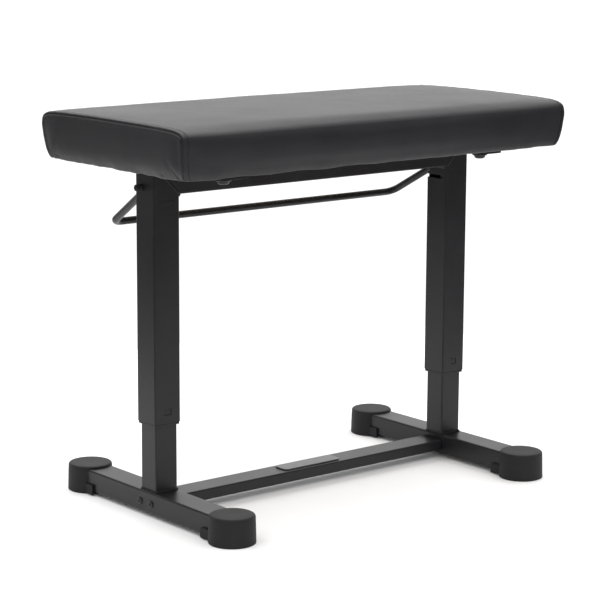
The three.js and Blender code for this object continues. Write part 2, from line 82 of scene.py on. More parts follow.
class Wiring:
    """Adds nodes to one tree and joins them up."""

    def __init__(self, tree):
        self.tree = tree

    def add(self, kind, inputs=None, **settings):
        node = self.tree.nodes.new(kind)
        for key, value in settings.items():
            setattr(node, key, value)
        for key, value in (inputs or {}).items():
            self.set(node.inputs[key], value)
        return node

    def set(self, socket, value):
        if isinstance(value, bpy.types.NodeSocket):
            self.tree.links.new(value, socket)
        else:
            socket.default_value = value


BACKDROP_LIGHT = 1.4
FRONT_LIGHT = 0.09
CEILING_LIGHT = 0.5
ROOM_LIGHT = 1.35
PAPER_LIGHT = 1.15


def make_world():
    """A white studio: bright behind the bench and overhead, dim behind the camera."""
    world = bpy.data.worlds.new("studio")
    world.use_nodes = True
    world.node_tree.nodes.clear()
    wire = Wiring(world.node_tree)
    place = wire.add("ShaderNodeTexCoord")
    away = (-CAMERA_PLACE[0], -CAMERA_PLACE[1], 0)
    along = wire.add(
        "ShaderNodeVectorMath",
        {0: place.outputs["Generated"], 1: Vector(away).normalized()},
        operation="DOT_PRODUCT",
    )
    side = wire.add(
        "ShaderNodeMapRange",
        {"Value": along.outputs["Value"], "From Min": 0.3, "From Max": 0.9,
         "To Min": FRONT_LIGHT, "To Max": BACKDROP_LIGHT},
        interpolation_type="SMOOTHSTEP",
    )
    height = wire.add("ShaderNodeSeparateXYZ", {"Vector": place.outputs["Generated"]})
    ceiling = wire.add(
        "ShaderNodeMapRange",
        {"Value": height.outputs["Z"], "From Min": 0.35, "From Max": 0.95,
         "To Min": 0.0, "To Max": CEILING_LIGHT},
        interpolation_type="SMOOTHSTEP",
    )
    total = wire.add(
        "ShaderNodeMath", {0: side.outputs["Result"], 1: ceiling.outputs["Result"]}, operation="ADD",
    )
    seen = wire.add("ShaderNodeLightPath")
    studio = wire.add("ShaderNodeBackground", {"Color": (1, 1, 1, 1), "Strength": total.outputs[0]})
    room = wire.add("ShaderNodeBackground", {"Color": (1, 1, 1, 1), "Strength": ROOM_LIGHT})
    soft = wire.add(
        "ShaderNodeMixShader",
        {0: seen.outputs["Is Diffuse Ray"], 1: studio.outputs[0], 2: room.outputs[0]},
    )
    paper = wire.add("ShaderNodeBackground", {"Color": (1, 1, 1, 1), "Strength": PAPER_LIGHT})
    mix = wire.add(
        "ShaderNodeMixShader",
        {0: seen.outputs["Is Camera Ray"], 1: soft.outputs[0], 2: paper.outputs[0]},
    )
    wire.add("ShaderNodeOutputWorld", {"Surface": mix.outputs[0]})
    scene.world = world


def make_softbox(name, place, aim, width, depth, watts):
    data = bpy.data.lights.new(name, "AREA")
    data.shape = "RECTANGLE"
    data.size, data.size_y = width, depth
    data.energy = watts
    light = bpy.data.objects.new(name, data)
    direction = Vector(aim) - Vector(place)
    turn = direction.to_track_quat("-Z", "Y").to_matrix().to_4x4()
    light.matrix_world = Matrix.Translation(place) @ turn
    scene.collection.objects.link(light)


FLOOR_REACH = 850


def make_floor(material):
    floor = mesh_object(
        "floor",
        [(x * FLOOR_REACH, y * FLOOR_REACH, 0) for x, y in ((-1, -1), (1, -1), (1, 1), (-1, 1))],
        [(0, 1, 2, 3)],
    )
    floor.data.materials.append(material)


# ---- shading ----

def value_group(name, inputs, outputs):
    """An empty shader node group with number inputs and outputs."""
    tree = bpy.data.node_groups.new(name, "ShaderNodeTree")
    for label, value in inputs.items():
        socket = tree.interface.new_socket(label, in_out="INPUT", socket_type="NodeSocketFloat")
        socket.default_value = value
    for label in outputs:
        tree.interface.new_socket(label, in_out="OUTPUT", socket_type="NodeSocketFloat")
    wire = Wiring(tree)
    return tree, wire, wire.add("NodeGroupInput"), wire.add("NodeGroupOutput")


def make_tone_group():
    """Broad, faint changes of tone, and a little dust on what faces up."""
    tree, wire, given, result = value_group(
        "tone and dust", {"Patch scale": 9.0, "Dust": 0.1}, ["Tone", "Dust"],
    )
    place = wire.add("ShaderNodeTexCoord").outputs["Object"]
    broad = wire.add(
        "ShaderNodeTexNoise",
        {"Vector": place, "Scale": given.outputs["Patch scale"], "Detail": 4.0, "Roughness": 0.6},
    )
    wire.set(result.inputs["Tone"], broad.outputs["Fac"])
    normal = wire.add("ShaderNodeNewGeometry").outputs["Normal"]
    upward = wire.add("ShaderNodeSeparateXYZ", {"Vector": normal}).outputs["Z"]
    specks = wire.add(
        "ShaderNodeTexNoise", {"Vector": place, "Scale": 160.0, "Detail": 5.0, "Roughness": 0.7},
    )
    settled = wire.add(
        "ShaderNodeMapRange",
        {"Value": upward, "From Min": 0.2, "From Max": 1.0, "To Min": 0.0, "To Max": 1.0},
    )
    patchy = wire.add(
        "ShaderNodeMath", {0: specks.outputs["Fac"], 1: settled.outputs["Result"]}, operation="MULTIPLY",
    )
    amount = wire.add(
        "ShaderNodeMath", {0: patchy.outputs[0], 1: given.outputs["Dust"]}, operation="MULTIPLY",
    )
    wire.set(result.inputs["Dust"], amount.outputs[0])
    return tree


def make_peel_group():
    """The pebbled skin of powder coat and of moulded rubber or plastic."""
    tree, wire, given, result = value_group(
        "pebbled skin", {"Pebble scale": 900.0, "Fine share": 0.4}, ["Height"],
    )
    place = wire.add("ShaderNodeTexCoord").outputs["Object"]
    pebbles = wire.add(
        "ShaderNodeTexVoronoi",
        {"Vector": place, "Scale": given.outputs["Pebble scale"], "Smoothness": 0.8},
        feature="SMOOTH_F1",
    )
    fine = wire.add(
        "ShaderNodeTexNoise",
        {"Vector": place, "Scale": 2600.0, "Detail": 3.0, "Roughness": 0.6},
    )
    mixed = wire.add(
        "ShaderNodeMix",
        {"Factor": given.outputs["Fine share"], "A": pebbles.outputs["Distance"],
         "B": fine.outputs["Fac"]},
        data_type="FLOAT",
    )
    wire.set(result.inputs["Height"], mixed.outputs["Result"])
    return tree


def make_hide_group():
    """Leatherette grain: small flat cells parted by creases, with wandering larger creases."""
    tree, wire, given, result = value_group(
        "hide grain", {"Cell scale": 620.0, "Crease share": 0.35}, ["Height", "Crease"],
    )
    place = wire.add("ShaderNodeTexCoord").outputs["Object"]
    wander = wire.add("ShaderNodeTexNoise", {"Vector": place, "Scale": 260.0, "Detail": 2.0})
    shift = wire.add(
        "ShaderNodeVectorMath", {0: wander.outputs["Color"], "Scale": 0.0012}, operation="SCALE",
    )
    moved = wire.add("ShaderNodeVectorMath", {0: place, 1: shift.outputs[0]}, operation="ADD")
    cells = wire.add(
        "ShaderNodeTexVoronoi",
        {"Vector": moved.outputs[0], "Scale": given.outputs["Cell scale"]},
        feature="DISTANCE_TO_EDGE",
    )
    flat = wire.add(
        "ShaderNodeMapRange",
        {"Value": cells.outputs["Distance"], "From Min": 0.0, "From Max": 0.16,
         "To Min": 0.0, "To Max": 1.0},
        interpolation_type="SMOOTHSTEP",
    )
    folds = wire.add(
        "ShaderNodeTexNoise",
        {"Vector": place, "Scale": 210.0, "Detail": 5.0, "Roughness": 0.62, "Distortion": 0.4},
    )
    mixed = wire.add(
        "ShaderNodeMix",
        {"Factor": given.outputs["Crease share"], "A": flat.outputs["Result"],
         "B": folds.outputs["Fac"]},
        data_type="FLOAT",
    )
    wire.set(result.inputs["Height"], mixed.outputs["Result"])
    wire.set(result.inputs["Crease"], flat.outputs["Result"])
    return tree


def make_streak_group():
    """Long fine streaks along X: drawn metal, or the grain of a veneer."""
    tree, wire, given, result = value_group(
        "fine streaks", {"Streak scale": 700.0, "Length": 0.04}, ["Height"],
    )
    place = wire.add("ShaderNodeTexCoord").outputs["Object"]
    stretch = wire.add(
        "ShaderNodeCombineXYZ", {"X": given.outputs["Length"], "Y": 1.0, "Z": 1.0},
    )
    drawn = wire.add(
        "ShaderNodeVectorMath", {0: place, 1: stretch.outputs[0]}, operation="MULTIPLY",
    )
    lines = wire.add(
        "ShaderNodeTexNoise",
        {"Vector": drawn.outputs[0], "Scale": given.outputs["Streak scale"], "Detail": 4.0},
    )
    wire.set(result.inputs["Height"], lines.outputs["Fac"])
    return tree


DUST_COLOUR = (0.35, 0.34, 0.33, 1)


def make_finish(name, dark, light, rough, grain, grain_inputs, depth, strength=1.0, tone_scale=9.0,
                dust=0.0, constants=None):
    """A finish between two tones, with roughness that varies and a grain from one of the groups."""
    material = bpy.data.materials.new(name)
    material.use_nodes = True
    material.node_tree.nodes.clear()
    wire = Wiring(material.node_tree)
    tone = wire.add("ShaderNodeGroup", node_tree=TONE)
    tone.inputs["Patch scale"].default_value = tone_scale
    tone.inputs["Dust"].default_value = dust
    skin = wire.add("ShaderNodeGroup", node_tree=grain)
    for label, value in grain_inputs.items():
        skin.inputs[label].default_value = value
    spread = wire.add(
        "ShaderNodeMapRange",
        {"Value": tone.outputs["Tone"], "From Min": 0.3, "From Max": 0.7, "To Min": 0.0, "To Max": 1.0},
    )
    # the sockets of a colour mix share their names with the number mix, so they go by place
    colour = wire.add("ShaderNodeMix", {"Factor": spread.outputs["Result"]}, data_type="RGBA")
    wire.set(colour.inputs[6], (*dark, 1))
    wire.set(colour.inputs[7], (*light, 1))
    dusty = wire.add("ShaderNodeMix", {"Factor": tone.outputs["Dust"]}, data_type="RGBA")
    wire.set(dusty.inputs[6], colour.outputs[2])
    wire.set(dusty.inputs[7], DUST_COLOUR)
    roughness = wire.add(
        "ShaderNodeMapRange",
        {"Value": tone.outputs["Tone"], "From Min": 0.25, "From Max": 0.75,
         "To Min": rough[0], "To Max": rough[1]},
    )
    bump = wire.add(
        "ShaderNodeBump",
        {"Height": skin.outputs["Height"], "Distance": depth, "Strength": strength},
    )
    shader = wire.add(
        "ShaderNodeBsdfPrincipled",
        {"Base Color": dusty.outputs[2], "Roughness": roughness.outputs["Result"],
         "Normal": bump.outputs["Normal"], **(constants or {})},
    )
    wire.add("ShaderNodeOutputMaterial", {"Surface": shader.outputs[0]})
    return material


# ---- mesh helpers ----

def mesh_object(name, points, faces, edges=()):
    """A mesh object at the origin from points in millimetres."""
    mesh = bpy.data.meshes.new(name)
    mesh.from_pydata([Vector(p) * MM for p in points], list(edges), faces)
    mesh.update()
    obj = bpy.data.objects.new(name, mesh)
    scene.collection.objects.link(obj)
    return obj


def span(node):
    """Lowest and highest corner of a CAD node, in millimetres."""
    low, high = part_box(node)
    return Vector(low) / MM, Vector(high) / MM


def face_outwards(obj, merge=0.0):
    shape = bmesh.new()
    shape.from_mesh(obj.data)
    if merge:
        bmesh.ops.remove_doubles(shape, verts=shape.verts, dist=merge * MM)
    bmesh.ops.recalc_face_normals(shape, faces=shape.faces)
    shape.to_mesh(obj.data)
    shape.free()


def smooth(obj):
    obj.data.polygons.foreach_set("use_smooth", [True] * len(obj.data.polygons))
    obj.data.update()


def soften_edges(obj, width, steps=2, angle=35):
    """A live bevel on the sharp edges, with flat faces kept flat to the eye."""
    smooth(obj)
    bevel = obj.modifiers.new("soft edges", "BEVEL")
    bevel.width = width * MM
    bevel.segments = steps
    bevel.limit_method = "ANGLE"
    bevel.angle_limit = math.radians(angle)
    bevel.harden_normals = True
    weighted = obj.modifiers.new("flat faces", "WEIGHTED_NORMAL")
    weighted.keep_sharp = True
    return obj


def plain_mesh(obj, name=None):
    """The object's mesh with its modifiers applied, as a new object in place of the old one."""
    bpy.context.view_layer.update()
    evaluated = obj.evaluated_get(bpy.context.evaluated_depsgraph_get())
    mesh = bpy.data.meshes.new_from_object(evaluated)
    final = name or obj.name
    bpy.data.objects.remove(obj)
    mesh.name = final
    fresh = bpy.data.objects.new(final, mesh)
    fresh.name = final
    scene.collection.objects.link(fresh)
    return fresh


def cut_away(obj, cutters):
    """Takes the cutters out of obj."""
    for cutter in cutters:
        step = obj.modifiers.new("cut", "BOOLEAN")
        step.operation = "DIFFERENCE"
        step.solver = "EXACT"
        step.object = cutter
    cut = plain_mesh(obj)
    for cutter in cutters:
        bpy.data.objects.remove(cutter)
    return cut


def finish_piece(obj, body, material, nodes=()):
    """Gives a piece its finish, its body and the CAD nodes that it stands for."""
    obj.data.materials.clear()
    obj.data.materials.append(material)
    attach(obj, body)
    if nodes:
        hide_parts(*nodes)
    return obj


def rounded_outline(width, depth, radius, steps=5):
    """Corner-rounded rectangle, counterclockwise."""
    outline = []
    for quarter, (sx, sy) in enumerate(((1, 1), (-1, 1), (-1, -1), (1, -1))):
        centre = (sx * (width / 2 - radius), sy * (depth / 2 - radius))
        for step in range(steps + 1):
            angle = math.radians(90 * (quarter + step / steps))
            outline.append((centre[0] + radius * math.cos(angle), centre[1] + radius * math.sin(angle)))
    return outline


def tube_object(name, width, depth, wall, radius, place):
    """A rectangular tube; place(u, v, end) puts each point of its section at end 0 or 1."""
    outer = rounded_outline(width, depth, radius)
    inner = rounded_outline(width - 2 * wall, depth - 2 * wall, max(radius - wall, 0.6))
    count = len(outer)
    points = [place(u, v, end) for end in (0, 1) for ring in (outer, inner) for u, v in ring]
    faces = []
    for i in range(count):
        j = (i + 1) % count
        out0, in0, out1, in1 = (ring * count for ring in range(4))
        faces.append((out0 + i, out0 + j, out1 + j, out1 + i))
        faces.append((in0 + j, in0 + i, in1 + i, in1 + j))
        faces.append((out0 + j, out0 + i, in0 + i, in0 + j))
        faces.append((out1 + i, out1 + j, in1 + j, in1 + i))
    obj = mesh_object(name, points, faces)
    face_outwards(obj)
    return obj


def box_object(name, low, high, round_axis=None, radius=0.0):
    """A box; with round_axis, the four edges along that axis are rounded."""
    low, high = Vector(low), Vector(high)
    if round_axis is None:
        xs, ys, zs = zip(low, high)
        corners = [(x, y, z) for x in xs for y in ys for z in zs]
        faces = [(0, 1, 3, 2), (4, 6, 7, 5), (0, 4, 5, 1), (2, 3, 7, 6), (0, 2, 6, 4), (1, 5, 7, 3)]
        obj = mesh_object(name, corners, faces)
    else:
        u, v = [axis for axis in range(3) if axis != round_axis]
        outline = rounded_outline(high[u] - low[u], high[v] - low[v], radius, 4)
        points = []
        for level in (low[round_axis], high[round_axis]):
            for a, b in outline:
                point = [0.0, 0.0, 0.0]
                point[u] = (low[u] + high[u]) / 2 + a
                point[v] = (low[v] + high[v]) / 2 + b
                point[round_axis] = level
                points.append(point)
        count = len(outline)
        faces = [tuple(range(count)), tuple(range(2 * count - 1, count - 1, -1))]
        faces += [(i, (i + 1) % count, count + (i + 1) % count, count + i) for i in range(count)]
        obj = mesh_object(name, points, faces)
    face_outwards(obj)
    return obj


def turned_object(name, profile, steps=64):
    """A closed body turned about Z from (radius, height) pairs that start and end on the axis."""
    points, rings = [], []
    for radius, height in profile:
        if radius < 1e-6:
            rings.append([len(points)])
            points.append((0, 0, height))
            continue
        rings.append(list(range(len(points), len(points) + steps)))
        for step in range(steps):
            angle = 2 * math.pi * step / steps
            points.append((radius * math.cos(angle), radius * math.sin(angle), height))
    faces = []
    for lower, upper in zip(rings, rings[1:]):
        for step in range(steps):
            after = (step + 1) % steps
            if len(lower) == 1:
                faces.append((lower[0], upper[after], upper[step]))
            elif len(upper) == 1:
                faces.append((lower[step], lower[after], upper[0]))
            else:
                faces.append((lower[step], lower[after], upper[after], upper[step]))
    obj = mesh_object(name, points, faces)
    face_outwards(obj)
    return obj


def arc(centre, radius, start, end, steps=5):
    """(radius, height) pairs round a corner, for a turned profile. Angles in degrees."""
    return [
        (centre[0] + radius * math.cos(math.radians(start + (end - start) * i / steps)),
         centre[1] + radius * math.sin(math.radians(start + (end - start) * i / steps)))
        for i in range(steps + 1)
    ]


def move_mesh(obj, matrix):
    """Moves the mesh itself; matrix is in millimetres."""
    scaled = matrix.copy()
    scaled.translation *= MM
    obj.data.transform(scaled)
    if matrix.determinant() < 0:
        face_outwards(obj)
    return obj


def joined(name, objects):
    """One object from several, which go."""
    shape = bmesh.new()
    for obj in objects:
        shape.from_mesh(obj.data)
    mesh = bpy.data.meshes.new(name)
    shape.to_mesh(mesh)
    shape.free()
    for obj in objects:
        bpy.data.objects.remove(obj)
    fresh = bpy.data.objects.new(name, mesh)
    scene.collection.objects.link(fresh)
    return fresh


def swept_rod(name, path, radius, steps=24):
    """A round rod along a path, with rounded-over ends."""
    path = [Vector(p) for p in path]
    points, rings = [], []
    side = Vector((0, 0, 1))
    for i, centre in enumerate(path):
        ahead = (path[min(i + 1, len(path) - 1)] - path[max(i - 1, 0)]).normalized()
        side = (side - ahead * side.dot(ahead)).normalized()
        other = ahead.cross(side)
        rings.append(len(points))
        for step in range(steps):
            angle = 2 * math.pi * step / steps
            points.append(centre + (side * math.cos(angle) + other * math.sin(angle)) * radius)
    faces = []
    for ring, following in zip(rings, rings[1:]):
        for step in range(steps):
            after = (step + 1) % steps
            faces.append((ring + step, ring + after, following + after, following + step))
    faces.append(tuple(range(steps)))
    faces.append(tuple(range(rings[-1], rings[-1] + steps)))
    obj = mesh_object(name, points, faces)
    face_outwards(obj)
    return obj


def bent_path(corners, radius, steps=10):
    """Straight runs joined by arcs of one radius."""
    corners = [Vector(c) for c in corners]
    path = [corners[0]]
    for before, corner, after in zip(corners, corners[1:], corners[2:]):
        incoming = (corner - before).normalized()
        outgoing = (after - corner).normalized()
        turn = incoming.angle(outgoing)
        reach = radius * math.tan(turn / 2)
        start = corner - incoming * reach
        inward = (outgoing - incoming).normalized()
        centre = corner + inward * radius / math.cos(turn / 2)
        axis = incoming.cross(outgoing).normalized()
        for step in range(steps + 1):
            path.append(centre + Matrix.Rotation(turn * step / steps, 3, axis) @ (start - centre))
    path.append(corners[-1])
    return path


# ---- repeated pieces, by geometry nodes ----

def node_inputs(tree, wanted):
    """Named inputs and one geometry output for a geometry tree."""
    tree.interface.new_socket("Geometry", in_out="INPUT", socket_type="NodeSocketGeometry")
    for label, kind in wanted.items():
        tree.interface.new_socket(label, in_out="INPUT", socket_type=kind)
    tree.interface.new_socket("Geometry", in_out="OUTPUT", socket_type="NodeSocketGeometry")


def make_path_tree():
    """Sets one item after another along a path of edges."""
    tree = bpy.data.node_groups.new("items along a path", "GeometryNodeTree")
    node_inputs(tree, {
        "Item": "NodeSocketObject", "Pitch": "NodeSocketFloat", "Size spread": "NodeSocketFloat",
        "Turn spread": "NodeSocketFloat", "Seed": "NodeSocketInt", "Finish": "NodeSocketMaterial",
    })
    wire = Wiring(tree)
    given = wire.add("NodeGroupInput").outputs
    curve = wire.add("GeometryNodeMeshToCurve", {"Mesh": given["Geometry"]})
    even = wire.add(
        "GeometryNodeResampleCurve", {"Curve": curve.outputs[0], "Length": given["Pitch"]}, mode="LENGTH",
    )
    spots = wire.add("GeometryNodeCurveToPoints", {"Curve": even.outputs[0]}, mode="EVALUATED")
    ahead = wire.add(
        "FunctionNodeAlignRotationToVector", {"Vector": spots.outputs["Tangent"]},
        axis="X", pivot_axis="AUTO",
    )
    back = wire.add("ShaderNodeMath", {0: given["Turn spread"], 1: -1.0}, operation="MULTIPLY")
    tilt = wire.add("FunctionNodeRandomValue", {"Seed": given["Seed"]}, data_type="FLOAT")
    wire.set(tilt.inputs[2], back.outputs[0])
    wire.set(tilt.inputs[3], given["Turn spread"])
    euler = wire.add("ShaderNodeCombineXYZ", {"Z": tilt.outputs[1]})
    twist = wire.add("FunctionNodeEulerToRotation", {0: euler.outputs[0]})
    turned = wire.add(
        "FunctionNodeRotateRotation", {0: ahead.outputs[0], 1: twist.outputs[0]}, rotation_space="LOCAL",
    )
    small = wire.add("ShaderNodeMath", {0: 1.0, 1: given["Size spread"]}, operation="SUBTRACT")
    large = wire.add("ShaderNodeMath", {0: 1.0, 1: given["Size spread"]}, operation="ADD")
    size = wire.add("FunctionNodeRandomValue", {"Seed": given["Seed"]}, data_type="FLOAT")
    wire.set(size.inputs[2], small.outputs[0])
    wire.set(size.inputs[3], large.outputs[0])
    item = wire.add("GeometryNodeObjectInfo", {"Object": given["Item"]})
    laid = wire.add(
        "GeometryNodeInstanceOnPoints",
        {"Points": spots.outputs["Points"], "Instance": item.outputs["Geometry"],
         "Rotation": turned.outputs[0], "Scale": size.outputs[1]},
    )
    real = wire.add("GeometryNodeRealizeInstances", {"Geometry": laid.outputs[0]})
    painted = wire.add(
        "GeometryNodeSetMaterial", {"Geometry": real.outputs[0], "Material": given["Finish"]},
    )
    wire.add("NodeGroupOutput", {"Geometry": painted.outputs[0]})
    return tree


def make_spot_tree():
    """Sets an item on each vertex, with its Z along the vertex's own facing attribute."""
    tree = bpy.data.node_groups.new("items on spots", "GeometryNodeTree")
    node_inputs(tree, {
        "Item": "NodeSocketObject", "Turn spread": "NodeSocketFloat", "Seed": "NodeSocketInt",
        "Finish": "NodeSocketMaterial",
    })
    wire = Wiring(tree)
    given = wire.add("NodeGroupInput").outputs
    spots = wire.add("GeometryNodeMeshToPoints", {"Mesh": given["Geometry"]})
    facing = wire.add("GeometryNodeInputNamedAttribute", {"Name": "facing"}, data_type="FLOAT_VECTOR")
    upright = wire.add(
        "FunctionNodeAlignRotationToVector", {"Vector": facing.outputs[0]}, axis="Z", pivot_axis="AUTO",
    )
    tilt = wire.add("FunctionNodeRandomValue", {"Seed": given["Seed"]}, data_type="FLOAT")
    wire.set(tilt.inputs[2], 0.0)
    wire.set(tilt.inputs[3], given["Turn spread"])
    euler = wire.add("ShaderNodeCombineXYZ", {"Z": tilt.outputs[1]})
    twist = wire.add("FunctionNodeEulerToRotation", {0: euler.outputs[0]})
    turned = wire.add(
        "FunctionNodeRotateRotation", {0: upright.outputs[0], 1: twist.outputs[0]}, rotation_space="LOCAL",
    )
    item = wire.add("GeometryNodeObjectInfo", {"Object": given["Item"]})
    laid = wire.add(
        "GeometryNodeInstanceOnPoints",
        {"Points": spots.outputs["Points"], "Instance": item.outputs["Geometry"],
         "Rotation": turned.outputs[0]},
    )
    real = wire.add("GeometryNodeRealizeInstances", {"Geometry": laid.outputs[0]})
    painted = wire.add(
        "GeometryNodeSetMaterial", {"Geometry": real.outputs[0], "Material": given["Finish"]},
    )
    wire.add("NodeGroupOutput", {"Geometry": painted.outputs[0]})
    return tree


def run_tree(obj, tree, values):
    """obj through the tree, as a plain mesh. The item it repeats stays for other uses."""
    step = obj.modifiers.new("repeat", "NODES")
    step.node_group = tree
    sockets = {s.name: s.identifier for s in tree.interface.items_tree if s.in_out == "INPUT"}
    for label, value in values.items():
        step[sockets[label]] = value
    result = plain_mesh(obj)
    smooth(result)
    return result


def along_path(name, lines, item, pitch, material, size_spread=0.0, turn_spread=0.0, seed=1):
    """Items along lines; each line is (points in millimetres, whether it closes)."""
    points, edges = [], []
    for line, closes in lines:
        first = len(points)
        points += line
        edges += [(first + i, first + i + 1) for i in range(len(line) - 1)]
        if closes:
            edges.append((first + len(line) - 1, first))
    path = mesh_object(name, points, [], edges)
    return run_tree(path, PATH_TREE, {
        "Item": item, "Pitch": pitch * MM, "Size spread": size_spread, "Turn spread": turn_spread,
        "Seed": seed, "Finish": material,
    })


def on_spots(name, spots, item, material, turn_spread=0.0, seed=1):
    """Items on spots; each spot is (point in millimetres, the direction its top faces)."""
    obj = mesh_object(name, [point for point, _ in spots], [])
    facing = obj.data.attributes.new("facing", "FLOAT_VECTOR", "POINT")
    facing.data.foreach_set("vector", [c for _, way in spots for c in way])
    return run_tree(obj, SPOT_TREE, {
        "Item": item, "Turn spread": turn_spread, "Seed": seed, "Finish": material,
    })


scene.view_settings.view_transform = "Standard"
make_camera()
make_world()
TONE = make_tone_group()
PEEL = make_peel_group()
HIDE = make_hide_group()
STREAKS = make_streak_group()
PATH_TREE = make_path_tree()
SPOT_TREE = make_spot_tree()

POWDER_COAT = make_finish(
    "satin black powder coat", (0.0102, 0.0097, 0.0112), (0.0144, 0.014, 0.0158), (0.34, 0.42),
    PEEL, {"Pebble scale": 800.0, "Fine share": 0.35}, 0.00006, 0.5, dust=0.02,
    constants={"IOR": 1.38},
)
RUBBER = make_finish(
    "moulded black rubber", (0.0075, 0.0075, 0.0082), (0.0125, 0.0125, 0.0132), (0.58, 0.7),
    PEEL, {"Pebble scale": 1100.0, "Fine share": 0.6}, 0.00012, 0.7, dust=0.06,
    constants={"IOR": 1.38},
)
PLASTIC = make_finish(
    "moulded black plastic", (0.010, 0.010, 0.011), (0.014, 0.014, 0.015), (0.42, 0.5),
    PEEL, {"Pebble scale": 1300.0, "Fine share": 0.5}, 0.00008, 0.5,
    constants={"IOR": 1.4},
)
LEATHERETTE = make_finish(
    "black leatherette", (0.013, 0.0125, 0.0145), (0.018, 0.0172, 0.0195), (0.4, 0.48),
    HIDE, {"Cell scale": 640.0, "Crease share": 0.35}, 0.00016, 0.5, tone_scale=6.0, dust=0.02,
    constants={"IOR": 1.38},
)
THREAD = make_finish(
    "black sewing thread", (0.006, 0.006, 0.007), (0.012, 0.012, 0.013), (0.6, 0.75),
    STREAKS, {"Streak scale": 2400.0, "Length": 0.3}, 0.0001, 0.8,
)
PLYWOOD = make_finish(
    "birch plywood", (0.33, 0.22, 0.12), (0.46, 0.33, 0.2), (0.55, 0.7),
    STREAKS, {"Streak scale": 420.0, "Length": 0.06}, 0.0001, 0.7, tone_scale=14.0,
)
ZINC = make_finish(
    "zinc plated steel", (0.36, 0.36, 0.38), (0.5, 0.5, 0.51), (0.3, 0.42),
    PEEL, {"Pebble scale": 1400.0, "Fine share": 0.7}, 0.00004, 0.5, tone_scale=60.0,
    constants={"Metallic": 1.0},
)
BLACK_STEEL = make_finish(
    "black oxide steel", (0.018, 0.018, 0.02), (0.03, 0.03, 0.032), (0.3, 0.42),
    PEEL, {"Pebble scale": 1400.0, "Fine share": 0.7}, 0.00004, 0.5, tone_scale=60.0,
    constants={"Metallic": 0.6},
)
CHROME = make_finish(
    "polished chrome rod", (0.62, 0.62, 0.64), (0.7, 0.7, 0.71), (0.08, 0.14),
    STREAKS, {"Streak scale": 1500.0, "Length": 0.5}, 0.00001, 0.3,
    constants={"Metallic": 1.0},
)
PLATE = make_finish(
    "blank silver plate", (0.1, 0.1, 0.102), (0.13, 0.13, 0.132), (0.36, 0.44),
    STREAKS, {"Streak scale": 900.0, "Length": 0.03}, 0.00002, 0.6, tone_scale=30.0,
    constants={"Metallic": 0.3},
)
PAPER = make_finish(
    "pale paper floor", (0.86, 0.86, 0.86), (0.88, 0.88, 0.88), (0.8, 0.9),
    PEEL, {"Pebble scale": 60.0, "Fine share": 0.8}, 0.0001, 0.1,
    constants={"Specular IOR Level": 0.2},
)
make_floor(PAPER)
make_softbox("overhead softbox", (0.1, 0.35, 2.4), (0, 0, 0), 2.6, 2.2, 42)


# ---- base ----

# tubes: wall and corner radius
THICK_WALL, THIN_WALL = 2.0, 1.5
RAIL_CORNER, INNER_CORNER, OUTER_CORNER, STRETCHER_CORNER = 2.4, 2.05, 2.0, 1.9
FOOT_RADIUS, FOOT_TAPER, EAR_REACH = 30.2, 0.9, 7.0
PLATE_CORNER = 6.0

def make_rail(name):
    low, high = span(f"base_rail_{name}")
    centre = (low + high) / 2

    def place(u, v, end):
        return (centre.x + u, high.y if end else low.y, centre.z + v)

    rail = tube_object(f"rail_{name}", high.x - low.x, high.z - low.z, THICK_WALL, RAIL_CORNER, place)
    soften_edges(rail, 0.3)
    finish_piece(rail, "base", POWDER_COAT, [f"base_rail_{name}"])


FOOT_STEPS = 96


def make_foot(name, label):
    """A moulded cap: a round foot with a rolled rim, and an ear each side of the rail."""
    node = f"foot_cap_{label}_{name}"
    low, high = span(node)
    end = ENDS[label]
    rail_low, rail_high = span(f"base_rail_{name}")
    rail_width = rail_high.x - rail_low.x
    radius = FOOT_RADIUS
    top_radius = radius - FOOT_TAPER
    height = high.z
    centre = Vector(((low.x + high.x) / 2, (high.y - radius) if end > 0 else (low.y + radius), 0))
    profile = [(0, 0), (radius - 3.0, 0)]
    profile += arc((radius - 1.2, 1.2), 1.2, -90, 0, 4)
    profile += [(radius - 0.25, height * 0.35), (radius - 0.55, height * 0.7)]
    profile += arc((top_radius - 3.2, height - 3.4), 3.2, 8, 90, 8)
    profile += [(top_radius - 9.0, height), (top_radius * 0.35, height - 0.15), (0, height - 0.2)]
    body = turned_object(node + "_round", profile, FOOT_STEPS)
    move_mesh(body, Matrix.Translation(centre))
    parts = [body]
    ear_reach = radius + EAR_REACH
    for flank in (-1, 1):
        inner = flank * (rail_width / 2 + 0.2)
        outer = flank * (rail_width / 2 + 3.4)
        start = centre.y - end * 14
        stop = centre.y - end * ear_reach
        ear = box_object(
            node + "_ear",
            (centre.x + min(inner, outer), min(start, stop), 1.5),
            (centre.x + max(inner, outer), max(start, stop), 15.0),
            round_axis=0, radius=1.6,
        )
        parts.append(ear)
    foot = joined(f"foot_{label}_{name}", parts)
    soften_edges(foot, 0.5, 2, 50)
    finish_piece(foot, "base", RUBBER, [node])


def make_stretcher():
    low, high = span("stretcher")
    centre = (low + high) / 2

    def place(u, v, end):
        return (high.x if end else low.x, centre.y + u, centre.z + v)

    size = high - low
    tube = tube_object("stretcher_tube", size.y, size.z, THIN_WALL, STRETCHER_CORNER, place)
    soften_edges(tube, 0.25)
    finish_piece(tube, "base", POWDER_COAT, ["stretcher"])
    low, high = span("blank_name_plate")
    plate = box_object("blank_plate", low, high, round_axis=2, radius=PLATE_CORNER)
    soften_edges(plate, 0.45, 3)
    finish_piece(plate, "base", PLATE, ["blank_name_plate"])


